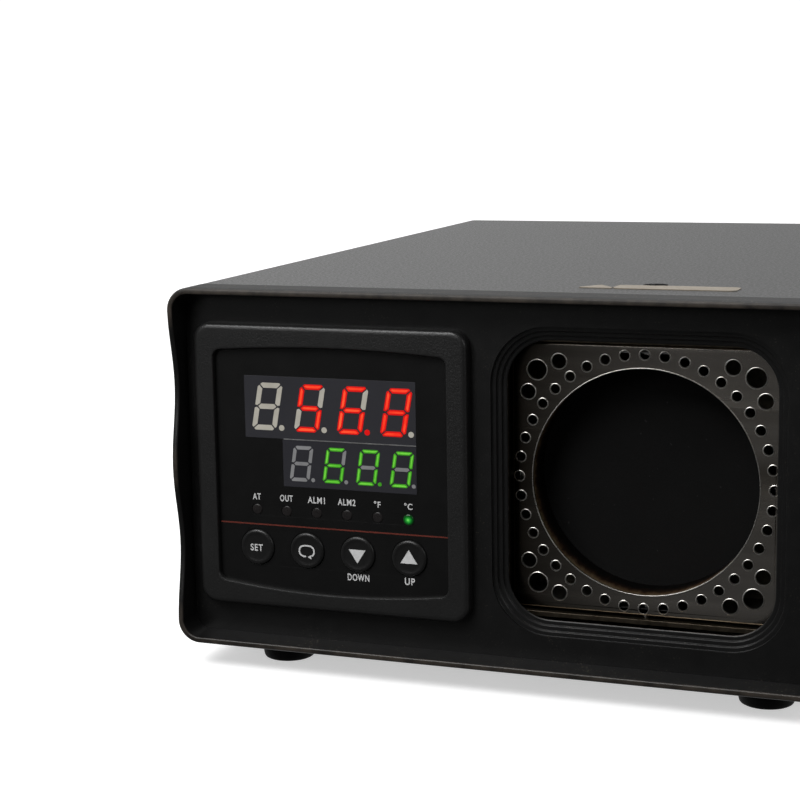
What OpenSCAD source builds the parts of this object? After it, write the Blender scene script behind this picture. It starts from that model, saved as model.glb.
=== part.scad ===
// Bench infrared calibrator: a PID controller beside a heated round target.
// Origin: centre of the footprint, on the surface it stands on.
// +Z is up, -Y is the front and +X is to the right, seen from the front.

/* [Case] */
// Overall width of the case
case_w = 173; // [170:1:180]
// Height of the case without its feet
case_h = 94.5; // [93:0.5:98]
// Depth from the front edge of the hood to the back edge of the rear frame
case_d = 236; // [232:1:250]
// Outside corner radius of the case
corner_r = 6; // [5.5:0.5:8]
// Wall thickness of the moulded covers
wall = 2.5; // [2:0.25:2.5]
// Height of the rubber feet
foot_h = 6.5; // [6:0.5:10]

/* [Hood] */
// How far the hood stands in front of the front panel
hood_d = 7.5; // [6:0.5:9]
// Depth of the two scallops in each side of the hood
scallop_d = 2.8; // [1:0.2:3.4]

/* [Controller] */
// Sideways place of the controller's centre
controller_x = -43.8; // [-45:0.2:-43]
// Width of the controller's bezel
bezel_w = 75; // [74:0.5:76]
// Height of the controller's bezel
bezel_h = 74; // [73:0.5:75]
// How far the bezel stands in front of the panel
bezel_proud = 3.2; // [2.8:0.1:4]
// How far a key travels
key_travel = 0.5; // [0.3:0.1:0.5]

/* [Target] */
// Sideways place of the target's centre
target_x = 36; // [34:0.5:37]
// Diameter of the aperture and of the target behind it
target_dia = 57; // [50:0.5:57]
// Depth of the target behind the front of the guard plate
cavity_d = 10; // [8:0.5:11]
// Number of small vent holes around the aperture
vent_count = 40; // [20:4:44]

/* [Hidden] */
$fn = 48;

front_y = -case_d / 2;
back_y = case_d / 2;
mid_z = foot_h + case_h / 2;
split_z = mid_z - 13.75;
rim_t = 2;
panel_t = 3;
panel_y = front_y + hood_d;
seam_y = panel_y + panel_t + 0.5;
rear_seam_y = back_y - 11;
rear_panel_y = back_y - 10;
rear_panel_t = 2;

cover_w = case_w - 0.4;
cover_h = case_h - 0.4;
cover_r = corner_r - 1;
under_z = mid_z - cover_h / 2;
floor_z = under_z + wall;
inner_w = cover_w - 2 * wall;
inner_h = cover_h - 2 * wall;
inner_r = cover_r - wall;
spigot_gap = 0.2;
spigot_t = 2;
spigot_l = 8;
frame_screw_xs = [-76, -4, 76.5];
pillar_x = inner_w / 2 - 6;
pillar_ys = [-18, 84];

controller_z = mid_z + 0.2;
face_y = panel_y - bezel_proud + 1.5;
face_t = 1.2;
board_y = panel_y + 7.5;
housing_w = 67;
housing_wall = 1.8;
housing_end_y = panel_y + 80.5;
bezel_r = 4.3;
opening_top_r = 380;
opening_bottom_r = 225;
key_pitch = 14.15;
key_z = controller_z - 21.35;
key_r = 4.8;
led_pitch = 8.45;
led_z = controller_z - 11.3;

plate_y = front_y + 15;
plate_w = 68;
sheet_t = 0.8;
shield_w = 66;
shield_end_y = plate_y + 57;
bracket_pin_y = shield_end_y - 7;
disc_y = plate_y + cavity_d;
disc_t = 6;
block_y = disc_y + disc_t;
block_t = 14;
rod_offset = 12;
collar_w = 71.6;
collar_t = 1.2;
window_w = 67;
window_h = 71;
window_r = 11;
window_steps = 4;
step_w = 1.2;
step_depth = 0.8;

fan_w = 60;
fan_t = 20;
fan_y = rear_panel_y - fan_t;
fan_hole_pitch = 50;
inlet_x = -45;
inlet_z = mid_z - 14;
switch_z = mid_z + 24;
flange_y = rear_panel_y + rear_panel_t;
rocker_tilt = 7;

// ---- Shared shapes ----

// Rectangle with round corners, centred on the origin.
module round_rect(w, h, r) {
    square([w - 2 * r, h], center = true);
    square([w, h - 2 * r], center = true);
    for (sx = [-1, 1], sy = [-1, 1])
        translate([sx * (w / 2 - r), sy * (h / 2 - r)]) circle(r);
}

// Stands a flat outline, drawn in X and Z, up between two depths.
module upright_plate(y0, y1) {
    translate([0, y1, 0]) rotate([90, 0, 0]) linear_extrude(y1 - y0) children();
}

// A rod along Y.
module y_rod(x, z, y0, y1, r) {
    translate([x, y1, z]) rotate([90, 0, 0]) cylinder(h = y1 - y0, r = r);
}

// A rod along X.
module x_rod(y, z, x0, x1, r) {
    translate([x0, y, z]) rotate([0, 90, 0]) cylinder(h = x1 - x0, r = r);
}

// A rod along Z.
module z_rod(x, y, z0, z1, r) {
    translate([x, y, z0]) cylinder(h = z1 - z0, r = r);
}

// A block between two corners.
module block(low, high) {
    translate(low) cube(high - low);
}

// A rectangular tube with round corners, running along Y around the case's middle.
module case_ring(w, h, r, t, y0, y1) {
    upright_plate(y0, y1) translate([0, mid_z]) difference() {
        round_rect(w, h, r);
        round_rect(w - 2 * t, h - 2 * t, max(r - t, 0.5));
    }
}

// The ring that a frame pushes inside the covers.
module spigot(y0, y1) {
    case_ring(inner_w - 2 * spigot_gap, inner_h - 2 * spigot_gap, inner_r - spigot_gap,
        spigot_t, y0, y1);
}

// A wire along a list of points, with round elbows.
module wire(points, r) {
    for (i = [0 : len(points) - 2]) {
        step = points[i + 1] - points[i];
        run = norm(step);
        translate(points[i])
            rotate([0, acos(step.z / run), atan2(step.y, step.x)]) cylinder(h = run, r = r, $fn = 16);
        if (i > 0) translate(points[i]) sphere(r + 0.1, $fn = 16);
    }
}

// ---- Case ----

function scallop(z) = 0.05 + scallop_d * pow(sin(180 * abs(z) / scallop_span), 2);
scallop_span = case_h / 2 - 5;

// Cuts the wavy front edge into the sides of the hood.
module hood_scallops() {
    for (side = [-1, 1])
        translate([side * (case_w / 2 - rim_t / 2) - 3.5, 0, 0])
            rotate([90, 0, 90]) linear_extrude(7) polygon(concat(
                [[front_y - 1, mid_z - scallop_span], [front_y - 1, mid_z + scallop_span]],
                [for (i = [20 : -1 : -20]) let (z = i / 20 * scallop_span)
                    [front_y + scallop(z), mid_z + z]]));
}

// Cuts the target's window through the panel, with steps that narrow it towards the back.
module window_steps_cut() {
    for (i = [1 : window_steps]) {
        grow = 2 * step_w * (window_steps - i);
        upright_plate(panel_y - 1, panel_y + (i < window_steps ? step_depth * i : panel_t + 1))
            translate([target_x, mid_z])
                round_rect(window_w + grow, window_h + grow, window_r + grow / 2);
    }
}

module front_frame() color("#1f2022") difference() {
    union() {
        case_ring(case_w, case_h, corner_r, rim_t, front_y, seam_y);
        upright_plate(panel_y, panel_y + panel_t)
            translate([0, mid_z]) round_rect(case_w - 1, case_h - 1, corner_r - 0.5);
        spigot(panel_y + panel_t - 0.5, seam_y + spigot_l);
        for (x = frame_screw_xs) z_rod(x, seam_y + 4, floor_z + 0.9, floor_z + 8, 3.5);
    }
    hood_scallops();
    window_steps_cut();
    upright_plate(panel_y - 1, panel_y + panel_t + 1)
        translate([controller_x, controller_z]) round_rect(68, 68, 2);
    for (x = frame_screw_xs) z_rod(x, seam_y + 4, floor_z, floor_z + 7, 1.25);
}

// The half of the covers' tube above or below the split.
module cover_half(z0, z1) {
    intersection() {
        case_ring(cover_w, cover_h, cover_r, wall, seam_y, rear_seam_y);
        block([-case_w, -case_d, z0], [case_w, case_d, z1]);
    }
}

module side_vents() {
    for (side = [-1, 1], i = [-5 : 5]) {
        translate([side * (cover_w / 2 - wall / 2), i * 9 + 30, mid_z + 10])
            cube([wall * 3, 3.5, 24], center = true);
        for (end = [-12, 12])
            x_rod(i * 9 + 30, mid_z + 10 + end, side * (cover_w / 2 - wall / 2) - wall * 1.5,
                side * (cover_w / 2 - wall / 2) + wall * 1.5, 1.75);
    }
}

module top_cover() color("#242527") difference() {
    union() {
        cover_half(split_z, case_h + foot_h);
        for (x = [-pillar_x, pillar_x], y = pillar_ys)
            z_rod(x, y, split_z, mid_z + inner_h / 2 + 1, 4.2);
    }
    side_vents();
    for (x = [-pillar_x, pillar_x], y = pillar_ys) z_rod(x, y, split_z - 1, split_z + 30, 1.55);
    z_rod(cover_screw_x, cover_screw_y, mid_z, case_h + foot_h, 1.6);
    z_rod(cover_screw_x, cover_screw_y, screw_seat_z, case_h + foot_h, screw_recess_r);
}

cover_screw_x = target_x - 1.6;
cover_screw_y = plate_y + 18.4;
top_z = mid_z + cover_h / 2;
screw_seat_z = top_z - 1.7;
screw_head_z = top_z - 0.6;
screw_recess_r = 3.25;
foot_r = 7.2;
foot_xs = [-62, 66.5];
foot_ys = [front_y + 17.5, back_y - 24];
bracket_xs = [target_x - 25, target_x + 25];
bracket_ys = [plate_y + 18, plate_y + 46];
sink_xs = [-68, -22];
sink_ys = [8, 62];

module base_tray() color("#242527") difference() {
    union() {
        cover_half(foot_h - 1, split_z);
        for (side = [-1, 1]) {
            seam_lip(side * (inner_w / 2 - 0.95), 0.65, split_z + 4);
            seam_lip(side * (inner_w / 2 - 0.7), 0.9, split_z - 1.5);
        }
        for (x = [-pillar_x, pillar_x], y = pillar_ys) z_rod(x, y, floor_z - 0.5, split_z, 4.2);
        for (x = bracket_xs, y = bracket_ys) z_rod(x, y, floor_z - 0.5, floor_z + 3, 3.5);
        for (x = sink_xs, y = sink_ys) z_rod(x, y, floor_z - 0.5, floor_z + 3, 3.5);
    }
    for (x = [-pillar_x, pillar_x], y = pillar_ys) {
        z_rod(x, y, foot_h, split_z + 1, 1.6);
        z_rod(x, y, foot_h - 1, foot_h + 4, 3.2);
    }
    for (x = bracket_xs, y = bracket_ys) z_rod(x, y, floor_z - 0.5, floor_z + 4, 1.3);
    for (x = sink_xs, y = sink_ys) z_rod(x, y, floor_z - 0.5, floor_z + 4, 1.3);
    for (x = foot_xs, y = foot_ys) z_rod(x, y, foot_h - 1, floor_z + 1, 1.3);
    for (x = frame_screw_xs) {
        z_rod(x, seam_y + 4, foot_h - 1, floor_z + 1, 1.6);
        z_rod(x, seam_y + 4, foot_h - 1, foot_h + 1.6, 2.9);
    }
    for (i = [-4 : 4]) {
        block([target_x - 15, -30 + i * 4 - 1, foot_h - 1], [target_x + 15, -29 + i * 4, floor_z + 1]);
        block([-15, 20 + i * 8, foot_h - 1], [25, 23 + i * 8, floor_z + 1]);
    }
}

// A long rib inside one side of the tray, whose upper part stands behind the top cover.
module seam_lip(x, half_t, top_z) {
    end_y = -(seam_y + spigot_l) - 0.5;
    block([x - half_t, -end_y, split_z - 4], [x + half_t, end_y, top_z]);
}

module rear_frame() color("#242527") difference() {
    union() {
        case_ring(cover_w, cover_h, cover_r, 2.8, rear_seam_y, back_y);
        spigot(rear_seam_y - spigot_l, rear_panel_y);
        case_ring(cover_w - 1, cover_h - 1, cover_r - 0.5, 4, rear_seam_y, rear_panel_y);
        intersection() {
            for (sx = [-1, 1], sz = [-1, 1])
                y_rod(sx * rear_screw_x, mid_z + sz * rear_screw_z, rear_seam_y - spigot_l,
                    rear_panel_y, 4.5);
            upright_plate(rear_seam_y - spigot_l, rear_panel_y) translate([0, mid_z])
                round_rect(inner_w - 2 * spigot_gap, inner_h - 2 * spigot_gap, inner_r - spigot_gap);
        }
    }
    for (sx = [-1, 1], sz = [-1, 1])
        y_rod(sx * rear_screw_x, mid_z + sz * rear_screw_z, rear_seam_y - 7, rear_panel_y + 1, 1.25);
}
rear_screw_x = inner_w / 2 - 6;
rear_screw_z = inner_h / 2 - 6;

module rear_panel() color("#2a2b2d") difference() {
    upright_plate(rear_panel_y, flange_y)
        translate([0, mid_z]) round_rect(cover_w - 6, cover_h - 6, cover_r - 3);
    y_rod(target_x, mid_z, rear_panel_y - 1, flange_y + 1, 28);
    for (sx = [-1, 1], sz = [-1, 1]) {
        y_rod(target_x + sx * fan_hole_pitch / 2, mid_z + sz * fan_hole_pitch / 2,
            rear_panel_y - 1, flange_y + 1, 1.9);
        y_rod(sx * rear_screw_x, mid_z + sz * rear_screw_z, rear_panel_y - 1, flange_y + 1, 1.6);
    }
    for (sx = [-1, 1]) y_rod(inlet_x + sx * 20, inlet_z, rear_panel_y - 1, flange_y + 1, 1.6);
    block([inlet_x - 14, rear_panel_y - 1, inlet_z - 16], [inlet_x + 14, flange_y + 1, inlet_z + 16]);
    block([inlet_x - 6.6, rear_panel_y - 1, switch_z - 9.6],
        [inlet_x + 6.6, flange_y + 1, switch_z + 9.6]);
}

module rubber_feet() color("#151515") for (x = foot_xs, y = foot_ys) translate([x, y, 0])
    difference() {
        union() {
            cylinder(h = 1, r1 = foot_r - 0.5, r2 = foot_r);
            translate([0, 0, 1]) cylinder(h = foot_h - 1, r = foot_r);
            cylinder(h = under_z, r = foot_r - 0.9);
        }
        translate([0, 0, -1]) cylinder(h = under_z + 2, r = 1.3);
        translate([0, 0, -1]) cylinder(h = 4, r = 3.3);
    }

module foot_screws() color("#8c8f93") for (x = foot_xs, y = foot_ys) {
    cross_screw_up(x, y, 1.5, 3, 2.7);
    z_rod(x, y, 3, floor_z + 0.2, 1.22);
}

// A pan head with a cross slot, seen from below.
module cross_screw_up(x, y, z0, z1, r) {
    difference() {
        z_rod(x, y, z0, z1, r);
        block([x - r * 0.6, y - 0.3, z0 - 1], [x + r * 0.6, y + 0.3, z0 + 0.7]);
        block([x - 0.3, y - r * 0.6, z0 - 1], [x + 0.3, y + r * 0.6, z0 + 0.7]);
    }
}

module case_screws() color("#8c8f93") for (x = [-pillar_x, pillar_x], y = pillar_ys) {
    cross_screw_up(x, y, foot_h + 2, foot_h + 4, 2.9);
    z_rod(x, y, foot_h + 4, split_z + 25, 1.5);
}

module frame_screws() color("#8c8f93") for (x = frame_screw_xs) {
    cross_screw_up(x, seam_y + 4, foot_h, foot_h + 1.6, 2.7);
    z_rod(x, seam_y + 4, foot_h + 1.6, floor_z + 6, 1.2);
}

// A pan head with a cross slot on a shank along Y, driven from behind.
module rear_screw(x, z, y_seat, head_r, shank_r, length) {
    y_rod(x, z, y_seat - length, y_seat, shank_r);
    difference() {
        y_rod(x, z, y_seat, y_seat + 1.6, head_r);
        block([x - head_r * 0.6, y_seat + 0.9, z - 0.3], [x + head_r * 0.6, y_seat + 3, z + 0.3]);
        block([x - 0.3, y_seat + 0.9, z - head_r * 0.6], [x + 0.3, y_seat + 3, z + head_r * 0.6]);
    }
}

module rear_panel_screws() color("#8c8f93") {
    for (sx = [-1, 1], sz = [-1, 1])
        rear_screw(sx * rear_screw_x, mid_z + sz * rear_screw_z, flange_y, 2.8, 1.2, 9);
    for (sx = [-1, 1]) rear_screw(inlet_x + sx * 20, inlet_z, flange_y + 3, 2.8, 1.4, 10);
}

module cover_screw() color("#101010") difference() {
    union() {
        z_rod(cover_screw_x, cover_screw_y, mid_z + shield_w / 2 + 2, screw_seat_z, 1.5);
        z_rod(cover_screw_x, cover_screw_y, screw_seat_z, screw_head_z, 2.9);
    }
    for (a = [0, 90]) translate([cover_screw_x, cover_screw_y, screw_head_z])
        rotate([0, 0, a]) cube([3, 0.6, 1.4], center = true);
}

module shield_pillar() color("#9a9da0") difference() {
    z_rod(cover_screw_x, cover_screw_y, mid_z + shield_w / 2, mid_z + inner_h / 2, 4);
    z_rod(cover_screw_x, cover_screw_y, mid_z + shield_w / 2 + 1.5, mid_z + inner_h / 2 + 1, 1.55);
}

module top_label() color("#e6dcae")
    translate([0, 0, top_z]) linear_extrude(0.2) difference() {
        translate([target_x + 1, plate_y + 11.7]) round_rect(39.4, 7.8, 1.2);
        translate([cover_screw_x, cover_screw_y]) circle(screw_recess_r);
    }

module rating_label() color("#c9cacb")
    translate([-48, 60, under_z - 0.2]) linear_extrude(0.2) round_rect(60, 30, 2);

// ---- Controller ----

// The bezel's opening, whose top and bottom edges bow outwards.
module bezel_opening() intersection() {
    square([64, 70], center = true);
    translate([0, 32 - opening_top_r]) circle(opening_top_r, $fn = 360);
    translate([0, opening_bottom_r - 32.6]) circle(opening_bottom_r, $fn = 360);
}

module controller_bezel() color("#2b2c2e") translate([controller_x, 0, controller_z])
    difference() {
        union() {
            upright_plate(panel_y - bezel_proud + 0.7, panel_y) round_rect(bezel_w, bezel_h, bezel_r);
            upright_plate(panel_y - bezel_proud, panel_y)
                round_rect(bezel_w - 1.4, bezel_h - 1.4, bezel_r - 0.7);
        }
        upright_plate(panel_y - bezel_proud - 1, panel_y + 1) bezel_opening();
        upright_plate(face_y, panel_y + 1) square([66.4, 66.8], center = true);
    }

module upper_window(gap) translate([-0.15, 16.15]) square([47.3 - 2 * gap, 16 - 2 * gap], center = true);
module lower_window(gap) translate([5.1, 1.3]) square([36.8 - 2 * gap, 11.9 - 2 * gap], center = true);

module controller_face() color("#1c1d20") translate([controller_x, 0, controller_z])
    upright_plate(face_y, face_y + face_t) difference() {
        square([66, 66.4], center = true);
        upper_window(0);
        lower_window(0);
        for (i = [0 : 5]) translate([(i - 2.5) * led_pitch, led_z - controller_z]) circle(1.45);
        for (i = [0 : 3]) translate([(i - 1.5) * key_pitch, key_z - controller_z]) circle(key_r + 0.3);
    }

module upper_lens() color("#3a3c42") translate([controller_x, 0, controller_z])
    upright_plate(face_y + 0.1, face_y + face_t - 0.1) upper_window(0.1);

module lower_lens() color("#3a3c42") translate([controller_x, 0, controller_z])
    upright_plate(face_y + 0.1, face_y + face_t - 0.1) lower_window(0.1);

module upper_display() color("#18181a") translate([controller_x, 0, controller_z])
    upright_plate(face_y + face_t + 0.1, board_y) translate([0, 16.4]) square([50, 17.2], center = true);

module lower_display() color("#18181a") translate([controller_x, 0, controller_z])
    upright_plate(face_y + face_t + 0.1, board_y) translate([5.6, 1.1]) square([38.6, 13], center = true);

module indicator_leds() color("#6d7072") for (i = [0 : 5])
    y_rod(controller_x + (i - 2.5) * led_pitch, led_z, face_y + 0.1, board_y, 1.3);

// A round key with a retaining flange behind the face and a stem to its switch.
module key(i) color("#232427") {
    x = controller_x + (i - 1.5) * key_pitch;
    y_rod(x, key_z, face_y - 0.7, face_y + face_t + 0.3, key_r);
    y_rod(x, key_z, face_y + face_t + 0.2, face_y + face_t + 1, key_r + 0.7);
    y_rod(x, key_z, face_y + face_t + 0.9, face_y + face_t + 1.9, 1.5);
}
module key_set() key(0);
module key_shift() key(1);
module key_down() key(2);
module key_up() key(3);

module key_switches() color("#b9bbbd") for (i = [0 : 3]) {
    x = controller_x + (i - 1.5) * key_pitch;
    block([x - 3, board_y - 3.5, key_z - 3], [x + 3, board_y, key_z + 3]);
    y_rod(x, key_z, face_y + face_t + 1.9 + key_travel + 0.3, board_y - 3.4, 1.7);
}

module display_board() color("#1f5c3a")
    translate([controller_x, 0, controller_z]) block([-31, board_y, -30], [31, board_y + 1.6, 30]);

module main_board() color("#1f5c3a") translate([controller_x, 0, controller_z - 24]) {
    block([-30, board_y + 3, 0], [30, housing_end_y - 3, 1.6]);
    color("#d8b23a") block([-24, board_y + 14, 1.6], [2, board_y + 38, 24]);
    color("#20262c") block([6, board_y + 30, 1.6], [26, board_y + 46, 17]);
    color("#3b3f44") for (x = [10, 20]) translate([x, board_y + 18, 1.6]) cylinder(h = 18, r = 4);
}

module controller_housing() color("#26272a") translate([controller_x, 0, controller_z])
    difference() {
        upright_plate(panel_y, housing_end_y) round_rect(housing_w, housing_w, 2);
        upright_plate(panel_y - 1, housing_end_y - housing_wall)
            square(housing_w - 2 * housing_wall, center = true);
    }

terminal_rows = [-14, 14];
module controller_terminals() color("#2f3236") translate([controller_x, 0, controller_z])
    difference() {
        block([-29, housing_end_y, -22], [29, housing_end_y + 9, 22]);
        for (z = terminal_rows, i = [-2.5 : 2.5])
            y_rod(i * 9, z, housing_end_y + 5, housing_end_y + 10, 3);
    }

module terminal_screws() color("#c8a24a") translate([controller_x, 0, controller_z])
    for (z = terminal_rows, i = [-2.5 : 2.5]) difference() {
        y_rod(i * 9, z, housing_end_y + 5, housing_end_y + 7, 2.7);
        block([i * 9 - 2, housing_end_y + 6.2, z - 0.35], [i * 9 + 2, housing_end_y + 8, z + 0.35]);
    }

clamp_len = 30;
module panel_clamps() color("#2b2c2f") for (side = [-1, 1]) difference() {
    block([controller_x - 6, panel_y + 10, controller_z + side * 36.9 - 3.2],
        [controller_x + 6, panel_y + 10 + clamp_len, controller_z + side * 36.9 + 3.2]);
    y_rod(controller_x, controller_z + side * 36.9, panel_y, panel_y + 11 + clamp_len, 1.6);
}

module clamp_screws() color("#8c8f93") for (side = [-1, 1]) {
    y_rod(controller_x, controller_z + side * 36.9, panel_y + panel_t, panel_y + 16 + clamp_len, 1.5);
    y_rod(controller_x, controller_z + side * 36.9, panel_y + 12 + clamp_len,
        panel_y + 16 + clamp_len, 2.8);
}

// ---- Heated target ----

small_pcd = 64;
corner_hole_r = 38.6;
side_hole_r = 36.7;
side_hole_angle = 8.8;

module guard_holes() {
    circle(target_dia / 2, $fn = 96);
    for (i = [0 : vent_count - 1]) rotate(90 + i * 360 / vent_count)
        translate([small_pcd / 2, 0]) circle(1.25, $fn = 24);
    for (corner = [45 : 90 : 315]) {
        rotate(corner) translate([corner_hole_r, 0]) circle(2.5, $fn = 32);
        for (s = [-1, 1]) rotate(corner + s * side_hole_angle)
            translate([side_hole_r, 0]) circle(1.9, $fn = 32);
    }
}

module guard_plate() color("#a89f92") difference() {
    union() {
        upright_plate(plate_y, plate_y + sheet_t) translate([target_x, mid_z]) difference() {
            round_rect(plate_w, plate_w, 2);
            guard_holes();
        }
        upright_plate(plate_y, plate_y + 8) translate([target_x, mid_z]) difference() {
            round_rect(plate_w, plate_w, 2);
            round_rect(plate_w - 2 * sheet_t, plate_w - 2 * sheet_t, 1.2);
        }
    }
    side_pins(1.1);
}

// Pins through the middle of the four sides of the sheet-metal parts.
module side_pins(r) {
    for (a = [0 : 90 : 270]) translate([target_x, plate_y + 3.5, mid_z]) rotate([0, a, 0])
        translate([0, 0, shield_w / 2 - 2]) cylinder(h = 8, r = r);
}

module plate_screws() color("#d4d0c8") for (a = [0 : 90 : 270])
    translate([target_x, plate_y + 3.5, mid_z]) rotate([0, a, 0]) {
        translate([0, 0, shield_w / 2 - 1.5]) cylinder(h = collar_w / 2 - shield_w / 2 + 1.6, r = 1);
        translate([0, 0, collar_w / 2]) cylinder(h = 1.2, r = 2);
    }

module target_barrel() color("#b3a48e") difference() {
    y_rod(target_x, mid_z, plate_y + sheet_t, disc_y, target_dia / 2 + 1, $fn = 96);
    y_rod(target_x, mid_z, plate_y, disc_y + 1, target_dia / 2, $fn = 96);
}

module target_disc() color("#3c3d3f")
    y_rod(target_x, mid_z, disc_y, block_y, target_dia / 2 + 1, $fn = 96);

module heater_block() color("#a7a9ab") difference() {
    y_rod(target_x, mid_z, block_y, block_y + block_t, target_dia / 2 - 0.5);
    for (s = [-1, 1]) z_rod(target_x + s * rod_offset, block_y + block_t / 2, 0, 200, 3.2);
    y_rod(target_x, mid_z, block_y + 5, block_y + block_t + 1, 1.6);
}

module heater_rods() color("#8a8d90") for (s = [-1, 1])
    z_rod(target_x + s * rod_offset, block_y + block_t / 2, mid_z - 24, mid_z + 24, 3.1);

module temperature_sensor() color("#b9bcbf")
    y_rod(target_x, mid_z, block_y + 5.2, shield_end_y + 4, 1.5);

module insulation_ring() color("#ded8c6") difference() {
    upright_plate(block_y + 1, block_y + block_t) translate([target_x, mid_z]) round_rect(64, 64, 1);
    y_rod(target_x, mid_z, block_y, block_y + block_t + 1, target_dia / 2 + 1.7);
}

lead_z = mid_z + 16;
module insulation_block() color("#ded8c6") difference() {
    upright_plate(block_y + block_t, block_y + block_t + 13)
        translate([target_x, mid_z]) round_rect(64, 64, 1);
    y_rod(target_x, mid_z, block_y, shield_end_y, 1.7);
    for (s = [-1, 1]) y_rod(target_x + s * rod_offset, lead_z, block_y, shield_end_y, 1.6);
}

module shield_box() color("#b6b8ba") difference() {
    upright_plate(plate_y + sheet_t + 0.2, shield_end_y) translate([target_x, mid_z]) difference() {
        round_rect(shield_w, shield_w, 1.5);
        round_rect(shield_w - 2 * sheet_t, shield_w - 2 * sheet_t, 0.7);
    }
    side_pins(1.1);
    bracket_pins(1.3);
}

// The four screws that hold the shield between the bracket's uprights.
module bracket_pins(r) {
    for (side = [-1, 1], z = [-20, 20])
        translate([target_x, bracket_pin_y, mid_z + z]) rotate([0, side * 90, 0])
            translate([0, 0, shield_w / 2 - 3]) cylinder(h = 7, r = r);
}

module shield_back() color("#b6b8ba") upright_plate(shield_end_y - 1.5, shield_end_y - 0.7)
    translate([target_x, mid_z]) difference() {
        round_rect(64.2, 64.2, 1);
        circle(2);
        for (s = [-1, 1]) translate([s * rod_offset, lead_z - mid_z]) circle(1.8);
    }

module overheat_cutout() color("#d9d3c3") {
    y_rod(target_x + 20, mid_z - 18, shield_end_y - 0.7, shield_end_y + 4, 7);
    for (s = [-1, 1]) block([target_x + 20 + s * 3 - 0.4, shield_end_y + 3.9, mid_z - 20],
        [target_x + 20 + s * 3 + 0.4, shield_end_y + 9, mid_z - 16]);
}

module oven_bracket() color("#9ea0a3") difference() {
    union() {
        block([target_x - collar_w / 2, plate_y + 5, floor_z + 3],
            [target_x + collar_w / 2, shield_end_y - 1, floor_z + 3 + collar_t]);
        for (side = [-1, 1]) {
            x = target_x + side * (collar_w / 2 - collar_t / 2);
            block([x - collar_t / 2, plate_y + 5, floor_z + 3],
                [x + collar_t / 2, shield_end_y - 1, mid_z + 28]);
        }
        upright_plate(plate_y - 1, plate_y + 7) translate([target_x, mid_z]) difference() {
            square(collar_w, center = true);
            square(collar_w - 2 * collar_t, center = true);
        }
    }
    side_pins(1.1);
    bracket_pins(1.3);
    for (x = bracket_xs, y = bracket_ys) z_rod(x, y, floor_z, floor_z + 6, 1.5);
}

module shield_spacers() color("#c9cbcd") for (side = [-1, 1], z = [-20, 20])
    translate([target_x, bracket_pin_y, mid_z + z]) rotate([0, side * 90, 0]) difference() {
        translate([0, 0, shield_w / 2]) cylinder(h = collar_w / 2 - collar_t - shield_w / 2, r = 3);
        translate([0, 0, shield_w / 2 - 1]) cylinder(h = 5, r = 1.3);
    }

module shield_screws() color("#8c8f93") for (side = [-1, 1], z = [-20, 20])
    translate([target_x, bracket_pin_y, mid_z + z]) rotate([0, side * 90, 0]) {
        translate([0, 0, shield_w / 2 - 2.5]) cylinder(h = collar_w / 2 - shield_w / 2 + 2.6, r = 1.2);
        translate([0, 0, collar_w / 2]) cylinder(h = 1.5, r = 2.4);
    }

module bracket_screws() color("#8c8f93") {
    for (x = bracket_xs, y = bracket_ys) tray_screw(x, y, floor_z + 3 + collar_t);
    for (x = sink_xs, y = sink_ys) tray_screw(x, y, floor_z + 6);
}

// A pan-head screw driven down into one of the tray's bosses.
module tray_screw(x, y, z_seat) {
    z_rod(x, y, floor_z, z_seat + 0.1, 1.22);
    z_rod(x, y, z_seat, z_seat + 1.6, 2.6);
}

// ---- Power parts in the rear half ----

module relay_heatsink() color("#a9abad") difference() {
    union() {
        block([-74, 2, floor_z + 3], [-16, 68, floor_z + 6]);
        for (i = [0 : 3]) block([-74 + i * 3, 14, floor_z + 5.9], [-73 + i * 3, 56, floor_z + 26]);
    }
    for (x = sink_xs, y = sink_ys) z_rod(x, y, floor_z, floor_z + 8, 1.5);
}

module solid_state_relay() color("#e6e4dc") difference() {
    union() {
        block([-60, 13, floor_z + 6], [-16, 57, floor_z + 9]);
        block([-60, 13, floor_z + 8.9], [-16, 57, floor_z + 28]);
    }
    for (x = [-52, -24], y = [17, 53])
        block([x - 4, y - 4.5, floor_z + 20], [x + 4, y + 4.5, floor_z + 29]);
}

module fan_frame() color("#1d1e20") difference() {
    union() {
        upright_plate(fan_y, rear_panel_y) translate([target_x, mid_z]) difference() {
            round_rect(fan_w, fan_w, 3);
            circle(28.2, $fn = 72);
        }
        y_rod(target_x, mid_z, rear_panel_y - 3, rear_panel_y, 13);
        intersection() {
            for (a = [45 : 90 : 315]) translate([target_x, rear_panel_y - 2.5, mid_z])
                rotate([0, a, 0]) translate([10, -0.1, -1.25]) cube([20, 2.5, 2.5]);
            y_rod(target_x, mid_z, rear_panel_y - 3, rear_panel_y, 29);
        }
    }
    for (sx = [-1, 1], sz = [-1, 1])
        y_rod(target_x + sx * fan_hole_pitch / 2, mid_z + sz * fan_hole_pitch / 2, 0, case_d, 1.9);
    for (sx = [-1, 1], sz = [-1, 1])
        y_rod(target_x + sx * fan_hole_pitch / 2, mid_z + sz * fan_hole_pitch / 2,
            fan_y + 4, rear_panel_y - 4, 3.6);
    y_rod(target_x, mid_z, rear_panel_y - 4, rear_panel_y - 0.8, 1.05);
}

blade_count = 7;
module fan_rotor() color("#26282a") {
    y_rod(target_x, mid_z, fan_y + 1, rear_panel_y - 3.6, 12.5);
    y_rod(target_x, mid_z, rear_panel_y - 3.7, rear_panel_y - 1, 1);
    intersection() {
        for (i = [0 : blade_count - 1]) translate([target_x, fan_y + 8.5, mid_z])
            rotate([0, i * 360 / blade_count, 0]) rotate([40, 0, 0])
                translate([10, -9, -0.5]) cube([20, 18, 1]);
        y_rod(target_x, mid_z, fan_y + 2.5, rear_panel_y - 4.5, 27.4);
    }
}

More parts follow.
